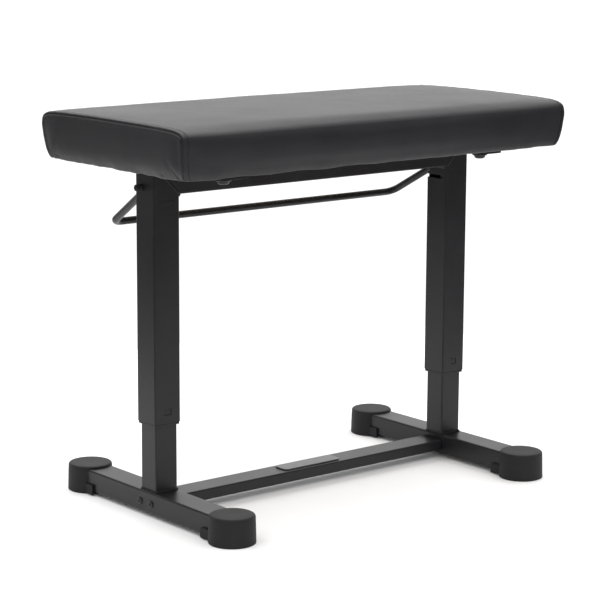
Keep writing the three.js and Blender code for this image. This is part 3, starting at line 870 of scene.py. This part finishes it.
def socket_head(name, radius, height, socket, dome):
    """A domed round head with a hexagon socket, facing up from Z 0."""
    profile = [(0, -1.0), (radius - 0.4, -1.0), (radius, -0.5), (radius, 0.25)]
    for step in range(1, 8):
        angle = math.radians(90 * step / 8)
        profile.append((radius - dome * (1 - math.cos(angle)), 0.25 + (height - 0.25) * math.sin(angle)))
    profile += [(radius - dome * 1.4, height), (0, height)]
    head = turned_object(name, profile, 36)
    depth, above = height * 0.25, height + 2
    key = turned_object(name + "_key", [(0, depth), (socket, depth), (socket, above), (0, above)], 6)
    return cut_away(head, [key])


def make_frame_screws():
    head = socket_head("screw_head", 5.0, 1.7, 1.9, 2.0)
    spots, nodes = [], []
    for name, side in SIDES.items():
        rail_low, rail_high = span(f"base_rail_{name}")
        outer = rail_high.x if side > 0 else rail_low.x
        for label in ENDS:
            low, high = span(f"stretcher_screw_{label}_{name}")
            spots.append(((outer, (low.y + high.y) / 2, (low.z + high.z) / 2), (side, 0, 0)))
            nodes.append(f"stretcher_screw_{label}_{name}")
    screws = on_spots("frame_screws", spots, head, BLACK_STEEL, 1.0, 3)
    bpy.data.objects.remove(head)
    finish_piece(screws, "base", BLACK_STEEL, nodes)


# ---- columns and top rail ----

outer_low, outer_high = span("outer_column_right")
COLUMN_OUT = outer_high.x
COLUMN_IN = outer_low.x
COLUMN_MID = (COLUMN_OUT + COLUMN_IN) / 2
COLUMN_DEPTH = outer_high.y - outer_low.y
rail_low, rail_high = span("top_rail")
FRAME_TOP = rail_high.z
RAIL_UNDER = rail_low.z
# cuts in a column, lowest and highest: windows for the bush's tabs, slots for the bail's arms,
# and the slot and notch in the inner corner, with where those two start from the front
BUSH_WINDOW = (135.0, 143.4)
BUSH_WINDOW_HALF, PLATE_SLOT_HALF, PLATE_SLOT_GAP = 5.5, 10.1, 0.1
ARM_SLOT_X, ARM_SLOT_Z = (249.35, 261.85), (413.2, 431.0)
NUT_SLOT_Z, NUT_SLOT_FRONT = (400.9, 405.5), -10.5
NOTCH_Z, NOTCH_FRONT = (409.3, 413.1), 13.8
AXLE_HOLE = 3.9


def make_inner_column(name):
    low, high = span(f"inner_column_{name}")

    def place(u, v, end):
        return ((low.x + high.x) / 2 + u, v, high.z if end else low.z)

    size = high - low
    column = tube_object(f"inner_tube_{name}", size.x, size.y, THICK_WALL, INNER_CORNER, place)
    soften_edges(column, 0.3)
    finish_piece(column, "base", POWDER_COAT, [f"inner_column_{name}"])


def make_outer_column(name, side):
    """Mitred at the top, with the bush windows, the plate's slots and the corner cuts."""

    def place(u, v, end):
        top = FRAME_TOP - (COLUMN_OUT - (COLUMN_MID + side * u))
        return (side * COLUMN_MID + u, v, top if end else outer_low.z)

    width = COLUMN_OUT - COLUMN_IN
    column = tube_object(f"outer_tube_{name}", width, COLUMN_DEPTH, THIN_WALL, OUTER_CORNER, place)
    beyond = COLUMN_DEPTH / 2 + 2

    def window(low_x, high_x, low_z, high_z, low_y=-beyond, high_y=beyond, radius=0.9):
        xs = sorted((side * low_x, side * high_x))
        low, high = (xs[0], low_y, low_z), (xs[1], high_y, high_z)
        return box_object("window", low, high, round_axis=1, radius=radius)

    plate_low, plate_high = span(f"spring_plate_{name}")
    hole = turned_object("axle_hole", [(0, -20), (AXLE_HOLE, -20), (AXLE_HOLE, 20), (0, 20)], 32)
    axle_low, axle_high = span("release_axle")
    axle_centre = (axle_low + axle_high) / 2
    turn = Matrix.Rotation(math.radians(90), 4, "Y")
    move_mesh(hole, Matrix.Translation((side * COLUMN_OUT, axle_centre.y, axle_centre.z)) @ turn)
    cutters = [
        window(COLUMN_MID - BUSH_WINDOW_HALF, COLUMN_MID + BUSH_WINDOW_HALF, *BUSH_WINDOW),
        window(
            COLUMN_MID - PLATE_SLOT_HALF, COLUMN_MID + PLATE_SLOT_HALF,
            plate_low.z - PLATE_SLOT_GAP, plate_high.z + PLATE_SLOT_GAP, radius=0.5,
        ),
        window(*ARM_SLOT_X, *ARM_SLOT_Z, 0, beyond, 2.5),
        window(COLUMN_IN - 1, COLUMN_IN + 4, *NUT_SLOT_Z, NUT_SLOT_FRONT, beyond, 0.8),
        window(COLUMN_IN - 1, COLUMN_IN + 4, *NOTCH_Z, NOTCH_FRONT, beyond, 0.6),
        hole,
    ]
    column = cut_away(column, cutters)
    soften_edges(column, 0.28)
    finish_piece(column, "seat_frame", POWDER_COAT, [f"outer_column_{name}"])


def make_top_rail():
    """Mitred to both columns, so each end slopes from the corner."""

    def place(u, v, end):
        height = (FRAME_TOP + RAIL_UNDER) / 2 + u
        reach = COLUMN_OUT - (FRAME_TOP - height)
        return (reach if end else -reach, v, height)

    width = FRAME_TOP - RAIL_UNDER
    rail = tube_object("top_rail_tube", width, COLUMN_DEPTH, THIN_WALL, OUTER_CORNER, place)
    soften_edges(rail, 0.28)
    finish_piece(rail, "seat_frame", POWDER_COAT, ["top_rail"])


def refined_copy(node, name, width, angle=30, steps=2):
    """The CAD shape, merged and with its edges softened."""
    shape = bmesh.new()
    shape.from_mesh(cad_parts[node].data)
    bmesh.ops.remove_doubles(shape, verts=shape.verts, dist=0.00002)
    bmesh.ops.dissolve_limit(
        shape, angle_limit=math.radians(1.5), verts=shape.verts, edges=shape.edges,
    )
    mesh = bpy.data.meshes.new(name)
    shape.to_mesh(mesh)
    shape.free()
    obj = bpy.data.objects.new(name, mesh)
    scene.collection.objects.link(obj)
    return soften_edges(obj, width, steps, angle)


def make_bushes_and_plates(name):
    bush = refined_copy(f"lower_bush_{name}", f"sleeve_bush_{name}", 0.4)
    finish_piece(bush, "seat_frame", PLASTIC, [f"lower_bush_{name}"])
    plate = refined_copy(f"spring_plate_{name}", f"spring_tab_plate_{name}", 0.5)
    finish_piece(plate, "seat_frame", POWDER_COAT, [f"spring_plate_{name}"])


def ripple(name, radius, squash):
    """One ripple of a weld bead, flattened along the bead."""
    profile = [(0, -radius)]
    profile += [
        (radius * math.cos(math.radians(a)), radius * math.sin(math.radians(a)))
        for a in (-50, -17, 17, 50)
    ]
    profile.append((0, radius))
    item = turned_object(name, profile, 8)
    return move_mesh(item, Matrix.Diagonal((squash, 1, 1, 1)))


def mitre_lines():
    """The seam round each mitre: up the front face and down the back one."""
    lines = []
    for side in SIDES.values():
        for face in (-1, 1):
            depth = face * (COLUMN_DEPTH / 2 - 0.75)
            lines.append(([
                (side * (COLUMN_OUT - 1.5), depth, FRAME_TOP - 1.5),
                (side * (COLUMN_IN + 1.0), depth, RAIL_UNDER + 1.0),
            ], False))
    return lines


def make_welds():
    small = ripple("small_ripple", 1.6, 0.62)
    seams = along_path("mitre_welds", mitre_lines(), small, 0.95, POWDER_COAT, 0.16, 0.3, 5)
    finish_piece(seams, "seat_frame", POWDER_COAT)
    bpy.data.objects.remove(small)

    fat = ripple("fillet_ripple", 2.9, 0.5)
    lines = []
    for side in SIDES.values():
        x = side * (COLUMN_IN - 0.6)
        reach, z = COLUMN_DEPTH / 2 - 2.5, RAIL_UNDER - 0.6
        lines.append(([(x, -reach, z), (x, reach, z)], False))
    corners = along_path("corner_fillets", lines, fat, 1.5, POWDER_COAT, 0.1, 0.25, 9)
    finish_piece(corners, "seat_frame", POWDER_COAT)
    bpy.data.objects.remove(fat)

    middle = ripple("bracket_ripple", 1.9, 0.55)
    lines = []
    for name in SIDES:
        for label, end in ENDS.items():
            low, high = span(f"seat_bracket_{label}_{name}")
            y = end * (COLUMN_DEPTH / 2 + 0.2)
            for z in (low.z + 0.1, high.z - 0.1):
                lines.append(([(low.x + 2, y, z), (high.x - 2, y, z)], False))
    brackets = along_path("bracket_welds", lines, middle, 1.3, POWDER_COAT, 0.14, 0.3, 13)
    finish_piece(brackets, "seat_frame", POWDER_COAT)

    lines = []
    for name in SIDES:
        low, high = span(f"inner_column_{name}")
        outline = rounded_outline(high.x - low.x + 0.4, high.y - low.y + 0.4, 2.1, 3)
        centre = (low + high) / 2
        lines.append(([(centre.x + u, centre.y + v, low.z + 0.1) for u, v in outline], True))
    feet = along_path("column_foot_welds", lines, middle, 1.3, POWDER_COAT, 0.14, 0.3, 17)
    finish_piece(feet, "base", POWDER_COAT)
    bpy.data.objects.remove(middle)


# ---- seat brackets and bolts ----

def make_brackets():
    for name in SIDES:
        for label in ENDS:
            node = f"seat_bracket_{label}_{name}"
            bracket = refined_copy(node, f"bracket_{label}_{name}", 0.7, 30, 3)
            finish_piece(bracket, "seat_frame", POWDER_COAT, [node])
            node = f"seat_spacer_{label}_{name}"
            washer = refined_copy(node, f"washer_{label}_{name}", 0.5, 50)
            finish_piece(washer, "seat_frame", RUBBER, [node])


def make_seat_bolts():
    """Flange-head bolts with a hexagon socket, pushed up through the brackets."""
    height, flange = 5.9, 10.0
    profile = [(0, -20.0), (3.2, -20.0), (3.8, -19.2), (3.8, -0.6), (flange - 0.5, -0.4)]
    profile += [(flange, 0.1), (flange, 1.1), (flange - 0.6, 1.6), (7.7, 1.9)]
    profile += arc((4.4, 1.9), 3.2, 8, 88, 6)
    profile = [(r, h if h < 2 else 1.9 + (h - 1.9) * (height - 1.9) / 3.2) for r, h in profile]
    profile.append((0, height))
    body = turned_object("bolt_body", profile, 36)
    key = turned_object("bolt_key", [(0, 3.0), (2.9, 3.0), (2.9, height + 2), (0, height + 2)], 6)
    bolt = cut_away(body, [key])
    spots, nodes = [], []
    for name in SIDES:
        for label in ENDS:
            node = f"seat_bolt_{label}_{name}"
            low, high = span(node)
            bracket_low, _ = span(f"seat_bracket_{label}_{name}")
            spots.append((((low.x + high.x) / 2, (low.y + high.y) / 2, bracket_low.z - 0.1), (0, 0, -1)))
            nodes.append(node)
    bolts = on_spots("seat_bolts", spots, bolt, BLACK_STEEL, 1.0, 7)
    bpy.data.objects.remove(bolt)
    finish_piece(bolts, "seat_frame", BLACK_STEEL, nodes)


# ---- release bail ----

BAIL_RADIUS = 5.0
BAIL_CORNER_X, BAIL_AXLE_X, BAIL_BEND = 243.4, 257.0, 15.0
ARM_START = 3.8  # from the axle's centre line to where an arm is welded on


def make_bail():
    low, high = span("bail_rod")
    axle_low, axle_high = span("release_axle")
    axle = (axle_low + axle_high) / 2
    bar_y = high.y - BAIL_RADIUS
    bar_z = low.z + BAIL_RADIUS
    corner = Vector((BAIL_CORNER_X, bar_y, bar_z))
    arm_start = Vector((BAIL_AXLE_X, axle.y, axle.z))
    start = arm_start + (corner - arm_start).normalized() * ARM_START
    flip = Vector((-1, 1, 1))
    path = bent_path([start, corner, corner * flip, start * flip], BAIL_BEND, 12)
    rod = swept_rod("bail", path, BAIL_RADIUS, 28)
    soften_edges(rod, 0.3, 2, 60)
    finish_piece(rod, "bail", POWDER_COAT, ["bail_rod"])
    for name, side in SIDES.items():
        cap_low, cap_high = span(f"axle_cap_{name}")
        radius = (cap_high.z - cap_low.z) / 2
        length = cap_high.x - cap_low.x
        profile = [(0, 0), (radius - 0.3, 0), (radius, 0.3), (radius, 1.6), (radius - 0.35, 2.0)]
        profile += [(radius - 0.35, length - 2.6)]
        profile += arc((radius - 2.0, length - 1.65), 1.65, 5, 90, 6)
        profile.append((0, length))
        cap = turned_object(f"axle_end_cap_{name}", profile, 40)
        turn = Matrix.Rotation(side * math.radians(90), 4, "Y")
        start_x = cap_low.x if side > 0 else cap_high.x
        move_mesh(cap, Matrix.Translation((start_x, axle.y, axle.z)) @ turn)
        smooth(cap)
        finish_piece(cap, "bail", RUBBER, [f"axle_cap_{name}"])


# ---- seat cushion ----

seat_low, seat_high = span("seat_cushion")
COVER_PROUD = 2.0
SEAT_X = (seat_high.x - seat_low.x) / 2 + COVER_PROUD
SEAT_Y = (seat_high.y - seat_low.y) / 2 + COVER_PROUD
SEAT_BOTTOM = seat_low.z
# inset from the widest line, and height above the seat's bottom, up one side
SIDE_SHAPE = [
    (7.6, 0.8), (6.0, 3.4), (4.4, 8.5), (3.2, 14.5), (2.2, 20.5), (1.3, 27.5),
    (0.6, 34.5), (0.2, 40.5), (0.0, 45), (0.6, 50.0), (2.1, 54.2),
]
TOP_SHAPE = [
    (4.6, 57.0), (8.2, 59.2), (13.5, 61.0), (22, 62.3), (36, 63.1), (60, 63.8), (100, 64.3), (156, 64.5),
]
WIDEST_HEIGHT = 45  # where the side stands furthest out
NEAR_STEPS = [0, 1.1, 2.4, 4.2, 6.6, 10, 14, 18.5, 23.5, 29]
SEAM_STEPS = [0, 0.9, 1.9, 3.1, 4.6, 6.2, 7.6, 8.7, 9.9, 11.6, 14, 17.5, 22, 27.5]
STITCH_INSET = 8.7
END_ROUND, END_TURN = 6.5, math.radians(58)
END_BULGE = 1.8


def through(points, count=24):
    """A smooth line through points, as many short steps."""
    line = []
    padded = [points[0] * 2 - points[1], *points, points[-1] * 2 - points[-2]]
    for a, b, c, d in zip(padded, padded[1:], padded[2:], padded[3:]):
        for step in range(count):
            t = step / count
            line.append(0.5 * ((2 * b) + (c - a) * t + (2 * a - 5 * b + 4 * c - d) * t * t
                               + (3 * b - a - 3 * c + d) * t ** 3))
    line.append(points[-1])
    return line


def at_lengths(line, lengths):
    """Points at the given distances along a line."""
    found, travelled, i = [], 0.0, 0
    for wanted in lengths:
        while i < len(line) - 2 and travelled + (line[i + 1] - line[i]).length < wanted:
            travelled += (line[i + 1] - line[i]).length
            i += 1
        step = (line[i + 1] - line[i]).length
        share = min(max((wanted - travelled) / step, 0), 1) if step else 0
        found.append(line[i].lerp(line[i + 1], share))
    return found


def line_length(line):
    return sum((b - a).length for a, b in zip(line, line[1:]))


def stepped(total, near, pitch):
    """Distances from 0 to total: close together at first, then evenly."""
    steps = [s for s in near if s < total - pitch]
    count = max(1, round((total - steps[-1]) / pitch))
    first = steps[-1]
    return steps + [first + (total - first) * (i + 1) / count for i in range(count)]


def cushion_section():
    """The main panel's section in Y and Z, from the front's bottom edge to the back's."""
    side = through([Vector((inset, height)) for inset, height in SIDE_SHAPE])
    side_total = line_length(side)
    from_top = stepped(side_total, NEAR_STEPS, 5.0)
    rows = at_lengths(side, [side_total - s for s in reversed(from_top)])
    top = through([Vector(SIDE_SHAPE[-1])] + [Vector(p) for p in TOP_SHAPE])
    top_total = line_length(top)
    across = at_lengths(top, stepped(top_total, NEAR_STEPS, 6.0))
    half = [Vector((-SEAT_Y + p[0], SEAT_BOTTOM + p[1])) for p in rows + across[1:]]
    whole = half + [Vector((-p[0], p[1])) for p in reversed(half[:-1])]
    return whole, len(rows) - 1


def inset_at(height):
    """How far the seat's side is drawn in at a height."""
    above = height - SEAT_BOTTOM
    levels = [(z, inset) for inset, z in SIDE_SHAPE if z <= WIDEST_HEIGHT]
    if above <= levels[0][0]:
        return levels[0][1]
    for (z0, i0), (z1, i1) in zip(levels, levels[1:]):
        if above <= z1:
            return i0 + (i1 - i0) * (above - z0) / (z1 - z0)
    return 0.0


def smoothstep(low, high, value):
    t = min(max((value - low) / (high - low), 0.0), 1.0)
    return t * t * (3 - 2 * t)


def section_normals(section):
    """Outward direction of the section at each of its points."""
    normals = []
    for i, point in enumerate(section):
        before = section[max(i - 1, 0)]
        after = section[min(i + 1, len(section) - 1)]
        along = (after - before).normalized()
        normals.append(Vector((-along[1], along[0])))
    return normals


def cushion_ring(section, normals, distance, side):
    """The section at a distance from one end's seam, measured over the cover."""
    arc_length = END_ROUND * END_TURN
    seam_x = SEAT_X - END_BULGE
    start_x = seam_x - END_ROUND * math.sin(END_TURN)
    if distance < arc_length:
        angle = (arc_length - distance) / END_ROUND
        x = start_x + END_ROUND * math.sin(angle)
        shrink = END_ROUND * (1 - math.cos(angle))
    else:
        x = start_x - (distance - arc_length)
        shrink = 0.0
    ramp = 1 - smoothstep(10, 100, distance)
    ring = []
    for point, normal in zip(section, normals):
        y = point[0] - normal[0] * shrink
        z = max(point[1] - normal[1] * shrink, SEAT_BOTTOM + 0.8)
        ring.append(Vector((side * (x - inset_at(point[1]) * ramp), y, z)))
    return ring


class CushionMesh:
    """Collects the cushion's points and faces, with each point's distance from its seam."""

    def __init__(self):
        self.points, self.faces, self.seam, self.held = [], [], [], []

    def grid(self, rows, seams, held, flip=False):
        first = len(self.points)
        width = len(rows[0])
        for row, seam_row, held_row in zip(rows, seams, held):
            self.points += row
            self.seam += seam_row
            self.held += held_row
        for i in range(len(rows) - 1):
            for j in range(width - 1):
                a = first + i * width + j
                face = (a, a + 1, a + width + 1, a + width)
                self.faces.append(face[::-1] if flip else face)


def cushion_held(seam, height):
    """How firmly a point is held in place while the pad swells: sewn and stapled edges are."""
    near_seam = 1 - smoothstep(2.0, 26.0, abs(seam))
    near_bottom = 1 - smoothstep(3.0, 18.0, height - SEAT_BOTTOM)
    return max(near_seam, near_bottom)


def end_panel(ring, corner, side):
    """A patch that fills the ring: rows run from the front to the back."""
    front = ring[:corner + 1]
    top = ring[corner:len(ring) - corner]
    back = ring[len(ring) - corner - 1:][::-1]
    bottom = [front[0].lerp(back[0], i / (len(top) - 1)) for i in range(len(top))]
    for i, point in enumerate(top):
        share = (point[1] - top[0][1]) / (top[-1][1] - top[0][1])
        bottom[i] = front[0].lerp(back[0], share)
    columns, seams = [], []
    up_total = (front[-1] - front[0]).length
    across_total = (top[-1] - top[0]).length
    for i in range(len(top)):
        u = (top[i][1] - top[0][1]) / (top[-1][1] - top[0][1])
        column, seam_column = [], []
        for k in range(len(front)):
            v = (front[k][2] - front[0][2]) / (front[-1][2] - front[0][2])
            edge_mix = (
                bottom[i] * (1 - v) + top[i] * v + front[k] * (1 - u) + back[k] * u
                - front[0] * (1 - u) * (1 - v) - back[0] * u * (1 - v)
                - front[-1] * (1 - u) * v - back[-1] * u * v
            )
            inner = min(u, 1 - u) * across_total
            under = (1 - v) * up_total
            swell = smoothstep(0, 22, inner) * smoothstep(0, 20, under) * smoothstep(0, 14, v * up_total)
            edge_mix[0] += side * END_BULGE * swell
            column.append(edge_mix)
            seam_column.append(-min(inner, under))
        columns.append(column)
        seams.append(seam_column)
    return columns, seams, bottom


# inset from the bottom edge, and height above the seat's bottom: the hem folds under the
# board, back over itself and up round the board's edge
HEM_SHAPE = [(1.0, 0.25), (3.5, 0.4), (8.0, 1.8), (14.0, 2.8), (19.0, 3.2), (20.0, 3.8), (18.5, 4.4),
             (5.0, 4.6), (3.0, 5.4), (2.6, 12.0), (2.4, 20.2)]


def cushion_shape():
    section, corner = cushion_section()
    normals = section_normals(section)
    arc_length = END_ROUND * END_TURN
    half_total = SEAT_X - END_BULGE - END_ROUND * math.sin(END_TURN) + arc_length
    distances = stepped(half_total, SEAM_STEPS, 6.5)
    rings, ring_seams = [], []
    for side, run in ((-1, distances), (1, list(reversed(distances[:-1])))):
        for distance in run:
            rings.append(cushion_ring(section, normals, distance, side))
            ring_seams.append([distance] * len(section))
    shape = CushionMesh()
    held = [
        [cushion_held(s, p[2]) for p, s in zip(ring, seams)] for ring, seams in zip(rings, ring_seams)
    ]
    shape.grid(rings, ring_seams, held)
    bottoms = {}
    for side, ring in ((-1, rings[0]), (1, rings[-1])):
        columns, seams, bottoms[side] = end_panel(ring, corner, side)
        held = [[cushion_held(s, p[2]) for p, s in zip(c, q)] for c, q in zip(columns, seams)]
        shape.grid(columns, seams, held, flip=side > 0)
    front = [ring[0] for ring in rings]
    back = [ring[-1] for ring in rings]
    edge = front + bottoms[1][1:] + back[::-1][1:] + bottoms[-1][::-1][1:]
    half = Vector((max(p[0] for p in edge), max(p[1] for p in edge)))
    loops = [edge]
    for inset, rise in HEM_SHAPE:
        loops.append([
            Vector((p[0] * (1 - inset / half[0]), p[1] * (1 - inset / half[1]), SEAT_BOTTOM + rise))
            for p in edge
        ])
    shape.grid(loops, [[60.0] * len(edge)] * len(loops), [[1.0] * len(edge)] * len(loops), flip=True)
    last = loops[-1]
    count_x, count_y = len(front), len(bottoms[1])
    lid_front = last[:count_x]
    lid_right = last[count_x - 1:count_x + count_y - 1]
    lid_back = last[count_x + count_y - 2:2 * count_x + count_y - 2][::-1]
    lid_left = last[2 * count_x + count_y - 3:][::-1]
    lid = []
    for i in range(count_x):
        row = []
        for j in range(count_y):
            if j == 0:
                row.append(lid_front[i])
            elif j == count_y - 1:
                row.append(lid_back[i])
            elif i == 0:
                row.append(lid_left[j])
            elif i == count_x - 1:
                row.append(lid_right[j])
            else:
                row.append(Vector((lid_front[i][0], lid_right[j][1], last[0][2])))
        lid.append(row)
    shape.grid(lid, [[60.0] * count_y] * count_x, [[1.0] * count_y] * count_x, flip=True)
    return shape, section, normals


def cushion_object(shape):
    """The cushion's mesh, merged, with its seam distance as an attribute and its held group."""
    obj = mesh_object("seat_pad", shape.points, shape.faces)
    seam = obj.data.attributes.new("seam", "FLOAT", "POINT")
    seam.data.foreach_set("value", shape.seam)
    group = obj.vertex_groups.new(name="held")
    for index, weight in enumerate(shape.held):
        if weight > 0:
            group.add([index], weight, "REPLACE")
    face_outwards(obj, 0.002)
    return obj


SWELL_FRAMES = 20
SWELL_LIMIT = 1.8


def swell(obj):
    """Lets the pad fill out under pressure, with its sewn and stapled edges held."""
    cloth = obj.modifiers.new("swell", "CLOTH")
    settings = cloth.settings
    settings.quality = 6
    settings.mass = 0.25
    settings.tension_stiffness = 30
    settings.compression_stiffness = 30
    settings.shear_stiffness = 12
    settings.bending_stiffness = 4
    settings.use_pressure = True
    settings.uniform_pressure_force = 4
    settings.vertex_group_mass = "held"
    settings.effector_weights.gravity = 0
    cloth.point_cache.frame_start = 1
    cloth.point_cache.frame_end = SWELL_FRAMES
    for number in range(1, SWELL_FRAMES + 1):
        scene.frame_set(number)
    evaluated = obj.evaluated_get(bpy.context.evaluated_depsgraph_get())
    swollen = [v.co.copy() for v in evaluated.data.vertices]
    obj.modifiers.remove(cloth)
    scene.frame_set(1)
    limit = SWELL_LIMIT * MM
    for vertex, target in zip(obj.data.vertices, swollen):
        move = target - vertex.co
        length = move.length
        if length > 1e-9:
            vertex.co += move * (limit * math.tanh(length / limit) / length)
    obj.data.update()


def cover_detail(point, normal, seam):
    """How far the cover stands out at a point, in millimetres: seam, stitch line, puckers, gathers."""
    x, y, z = point
    above = z - SEAT_BOTTOM
    out = 0.0
    if abs(seam) < 40:
        out -= 1.7 * math.exp(-(seam / 1.15) ** 2)
        out += 0.35 * math.exp(-((abs(seam) - 3.2) / 1.8) ** 2)
        out -= 1.0 * math.exp(-((seam - STITCH_INSET) / 0.9) ** 2)
        along = y if above > 45 else z * 1.3
        pucker = noise.noise(Vector((along / 7.5, x / 60, 3.0)))
        out += 0.3 * pucker * math.exp(-((seam - 4) / 7) ** 2)
    around = x if abs(normal[1]) > abs(normal[0]) else y
    gather = noise.noise(Vector((around / 24, above / 60, 11.0 + (1 if normal[1] > 0 else 0))))
    broad_gather = noise.noise(Vector((around / 42, above / 120, 23.0)))
    low = math.exp(-(max(above, 0) / 9) ** 2)
    out += (0.55 * gather + 1.1 * broad_gather) * low
    out += 0.55 * noise.noise(Vector((x / 105, y / 75, z / 60)))
    out += 0.16 * noise.noise(Vector((x / 24, y / 21, z / 19 + 5)))
    out -= corner_crease(point)
    return out


def corner_crease(point):
    """Folds drawn from the bottom corners up into the end panels."""
    x, y, z = point
    if abs(x) < SEAT_X - 22 or z > SEAT_BOTTOM + 34:
        return 0.0
    reach = SEAT_Y - 11 - abs(y)
    above = z - SEAT_BOTTOM
    depth = 0.0
    for slope, start, strength in ((1.25, 4.0, 1.0), (2.4, 15.0, 0.55)):
        across = (reach - start - above / slope) / math.hypot(1, 1 / slope)
        fade = smoothstep(33, 6, above) if above > 6 else 1.0
        depth += strength * math.exp(-(across / 1.9) ** 2) * fade
    return depth


def bottom_wave(point):
    """The stapled bottom edge doesn't run straight: it rises and falls between the staples."""
    x, y, z = point
    above = z - SEAT_BOTTOM
    if above > 12 or abs(x) < SEAT_X - 34 and abs(y) < SEAT_Y - 34:
        return 0.0
    around = x + 3 * y
    share = 1 - smoothstep(2, 12, above)
    slow = noise.noise(Vector((around / 46, 4.0, 2.0)))
    quick = noise.noise(Vector((around / 17, 8.0, 1.0)))
    return share * (0.8 * slow + 0.15 * quick)


def make_cushion():
    shape, section, normals = cushion_shape()
    pad = cushion_object(shape)
    swell(pad)
    rounder = pad.modifiers.new("rounder", "SUBSURF")
    rounder.levels = rounder.render_levels = 1
    pad = plain_mesh(pad, "seat_pad")
    mesh = pad.data
    seams = [0.0] * len(mesh.vertices)
    mesh.attributes["seam"].data.foreach_get("value", seams)
    moved = []
    for vertex, seam in zip(mesh.vertices, seams):
        point = vertex.co / MM
        fresh = point + vertex.normal * cover_detail(point, vertex.normal, seam)
        fresh[2] += bottom_wave(point)
        moved.append(fresh * MM)
    for vertex, place in zip(mesh.vertices, moved):
        vertex.co = place
    mesh.update()
    smooth(pad)
    pad.vertex_groups.clear()
    finish_piece(pad, "seat_frame", LEATHERETTE, ["seat_cushion"])
    return pad, section, normals


def stitch_item():
    """One stitch lying along X, thicker in the middle."""
    profile = [(0, -1.75), (0.24, -1.6), (0.36, -0.8), (0.38, 0), (0.36, 0.8), (0.24, 1.6), (0, 1.75)]
    item = turned_object("stitch", profile, 6)
    return move_mesh(item, Matrix.Rotation(math.radians(90), 4, "Y"))


def make_stitches(pad, section, normals):
    tree = BVHTree.FromObject(pad, bpy.context.evaluated_depsgraph_get())
    lines = []
    for side in SIDES.values():
        ring = cushion_ring(section, normals, STITCH_INSET, side)
        line = []
        for point in ring[1:-1]:
            near, normal, _, _ = tree.find_nearest(point * MM)
            line.append((near + normal * 0.00012) / MM)
        lines.append((line, False))
    item = stitch_item()
    stitches = along_path("top_stitching", lines, item, 4.4, THREAD, 0.06, 0.06, 21)
    bpy.data.objects.remove(item)
    finish_piece(stitches, "seat_frame", THREAD)


STAPLE_INSET, STAPLE_RISE, STAPLE_PITCH = 24, 2.5, 24


def make_staples():
    """Wire staples that hold the hem to the board."""
    crown, leg, wire = 5.0, 1.2, 0.35
    path = bent_path([(-crown, 0, leg), (-crown, 0, 0), (crown, 0, 0), (crown, 0, leg)], 0.6, 2)
    item = swept_rod("staple", path, wire, 5)
    half_x, half_y = SEAT_X - STAPLE_INSET, SEAT_Y - STAPLE_INSET
    loop = rounded_outline(2 * half_x, 2 * half_y, 14, 4)
    line = [(u, v, SEAT_BOTTOM + STAPLE_RISE) for u, v in loop]
    staples = along_path("hem_staples", [(line, True)], item, STAPLE_PITCH, ZINC, 0.0, 0.22, 31)
    bpy.data.objects.remove(item)
    finish_piece(staples, "seat_frame", ZINC)


for side_name, side_sign in SIDES.items():
    make_rail(side_name)
    for end_name in ENDS:
        make_foot(side_name, end_name)
    make_inner_column(side_name)
    make_outer_column(side_name, side_sign)
    make_bushes_and_plates(side_name)
make_stretcher()
make_frame_screws()
make_top_rail()
make_welds()
make_brackets()
make_seat_bolts()
make_bail()
seat_pad, pad_section, pad_normals = make_cushion()
make_stitches(seat_pad, pad_section, pad_normals)
make_staples()

# ---- CAD nodes that stay: their finishes ----

KEPT = {
    "gas_cylinder": POWDER_COAT, "cylinder_plug": ZINC, "upper_bush": PLASTIC, "piston_rod": CHROME,
    "rod_nut": ZINC, "stretcher_end_block": ZINC, "release": ZINC, "seat_board": PLYWOOD,
}
for node_name, node_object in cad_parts.items():
    for start, finish in KEPT.items():
        if node_name.startswith(start):
            node_object.data.materials.clear()
            node_object.data.materials.append(finish)
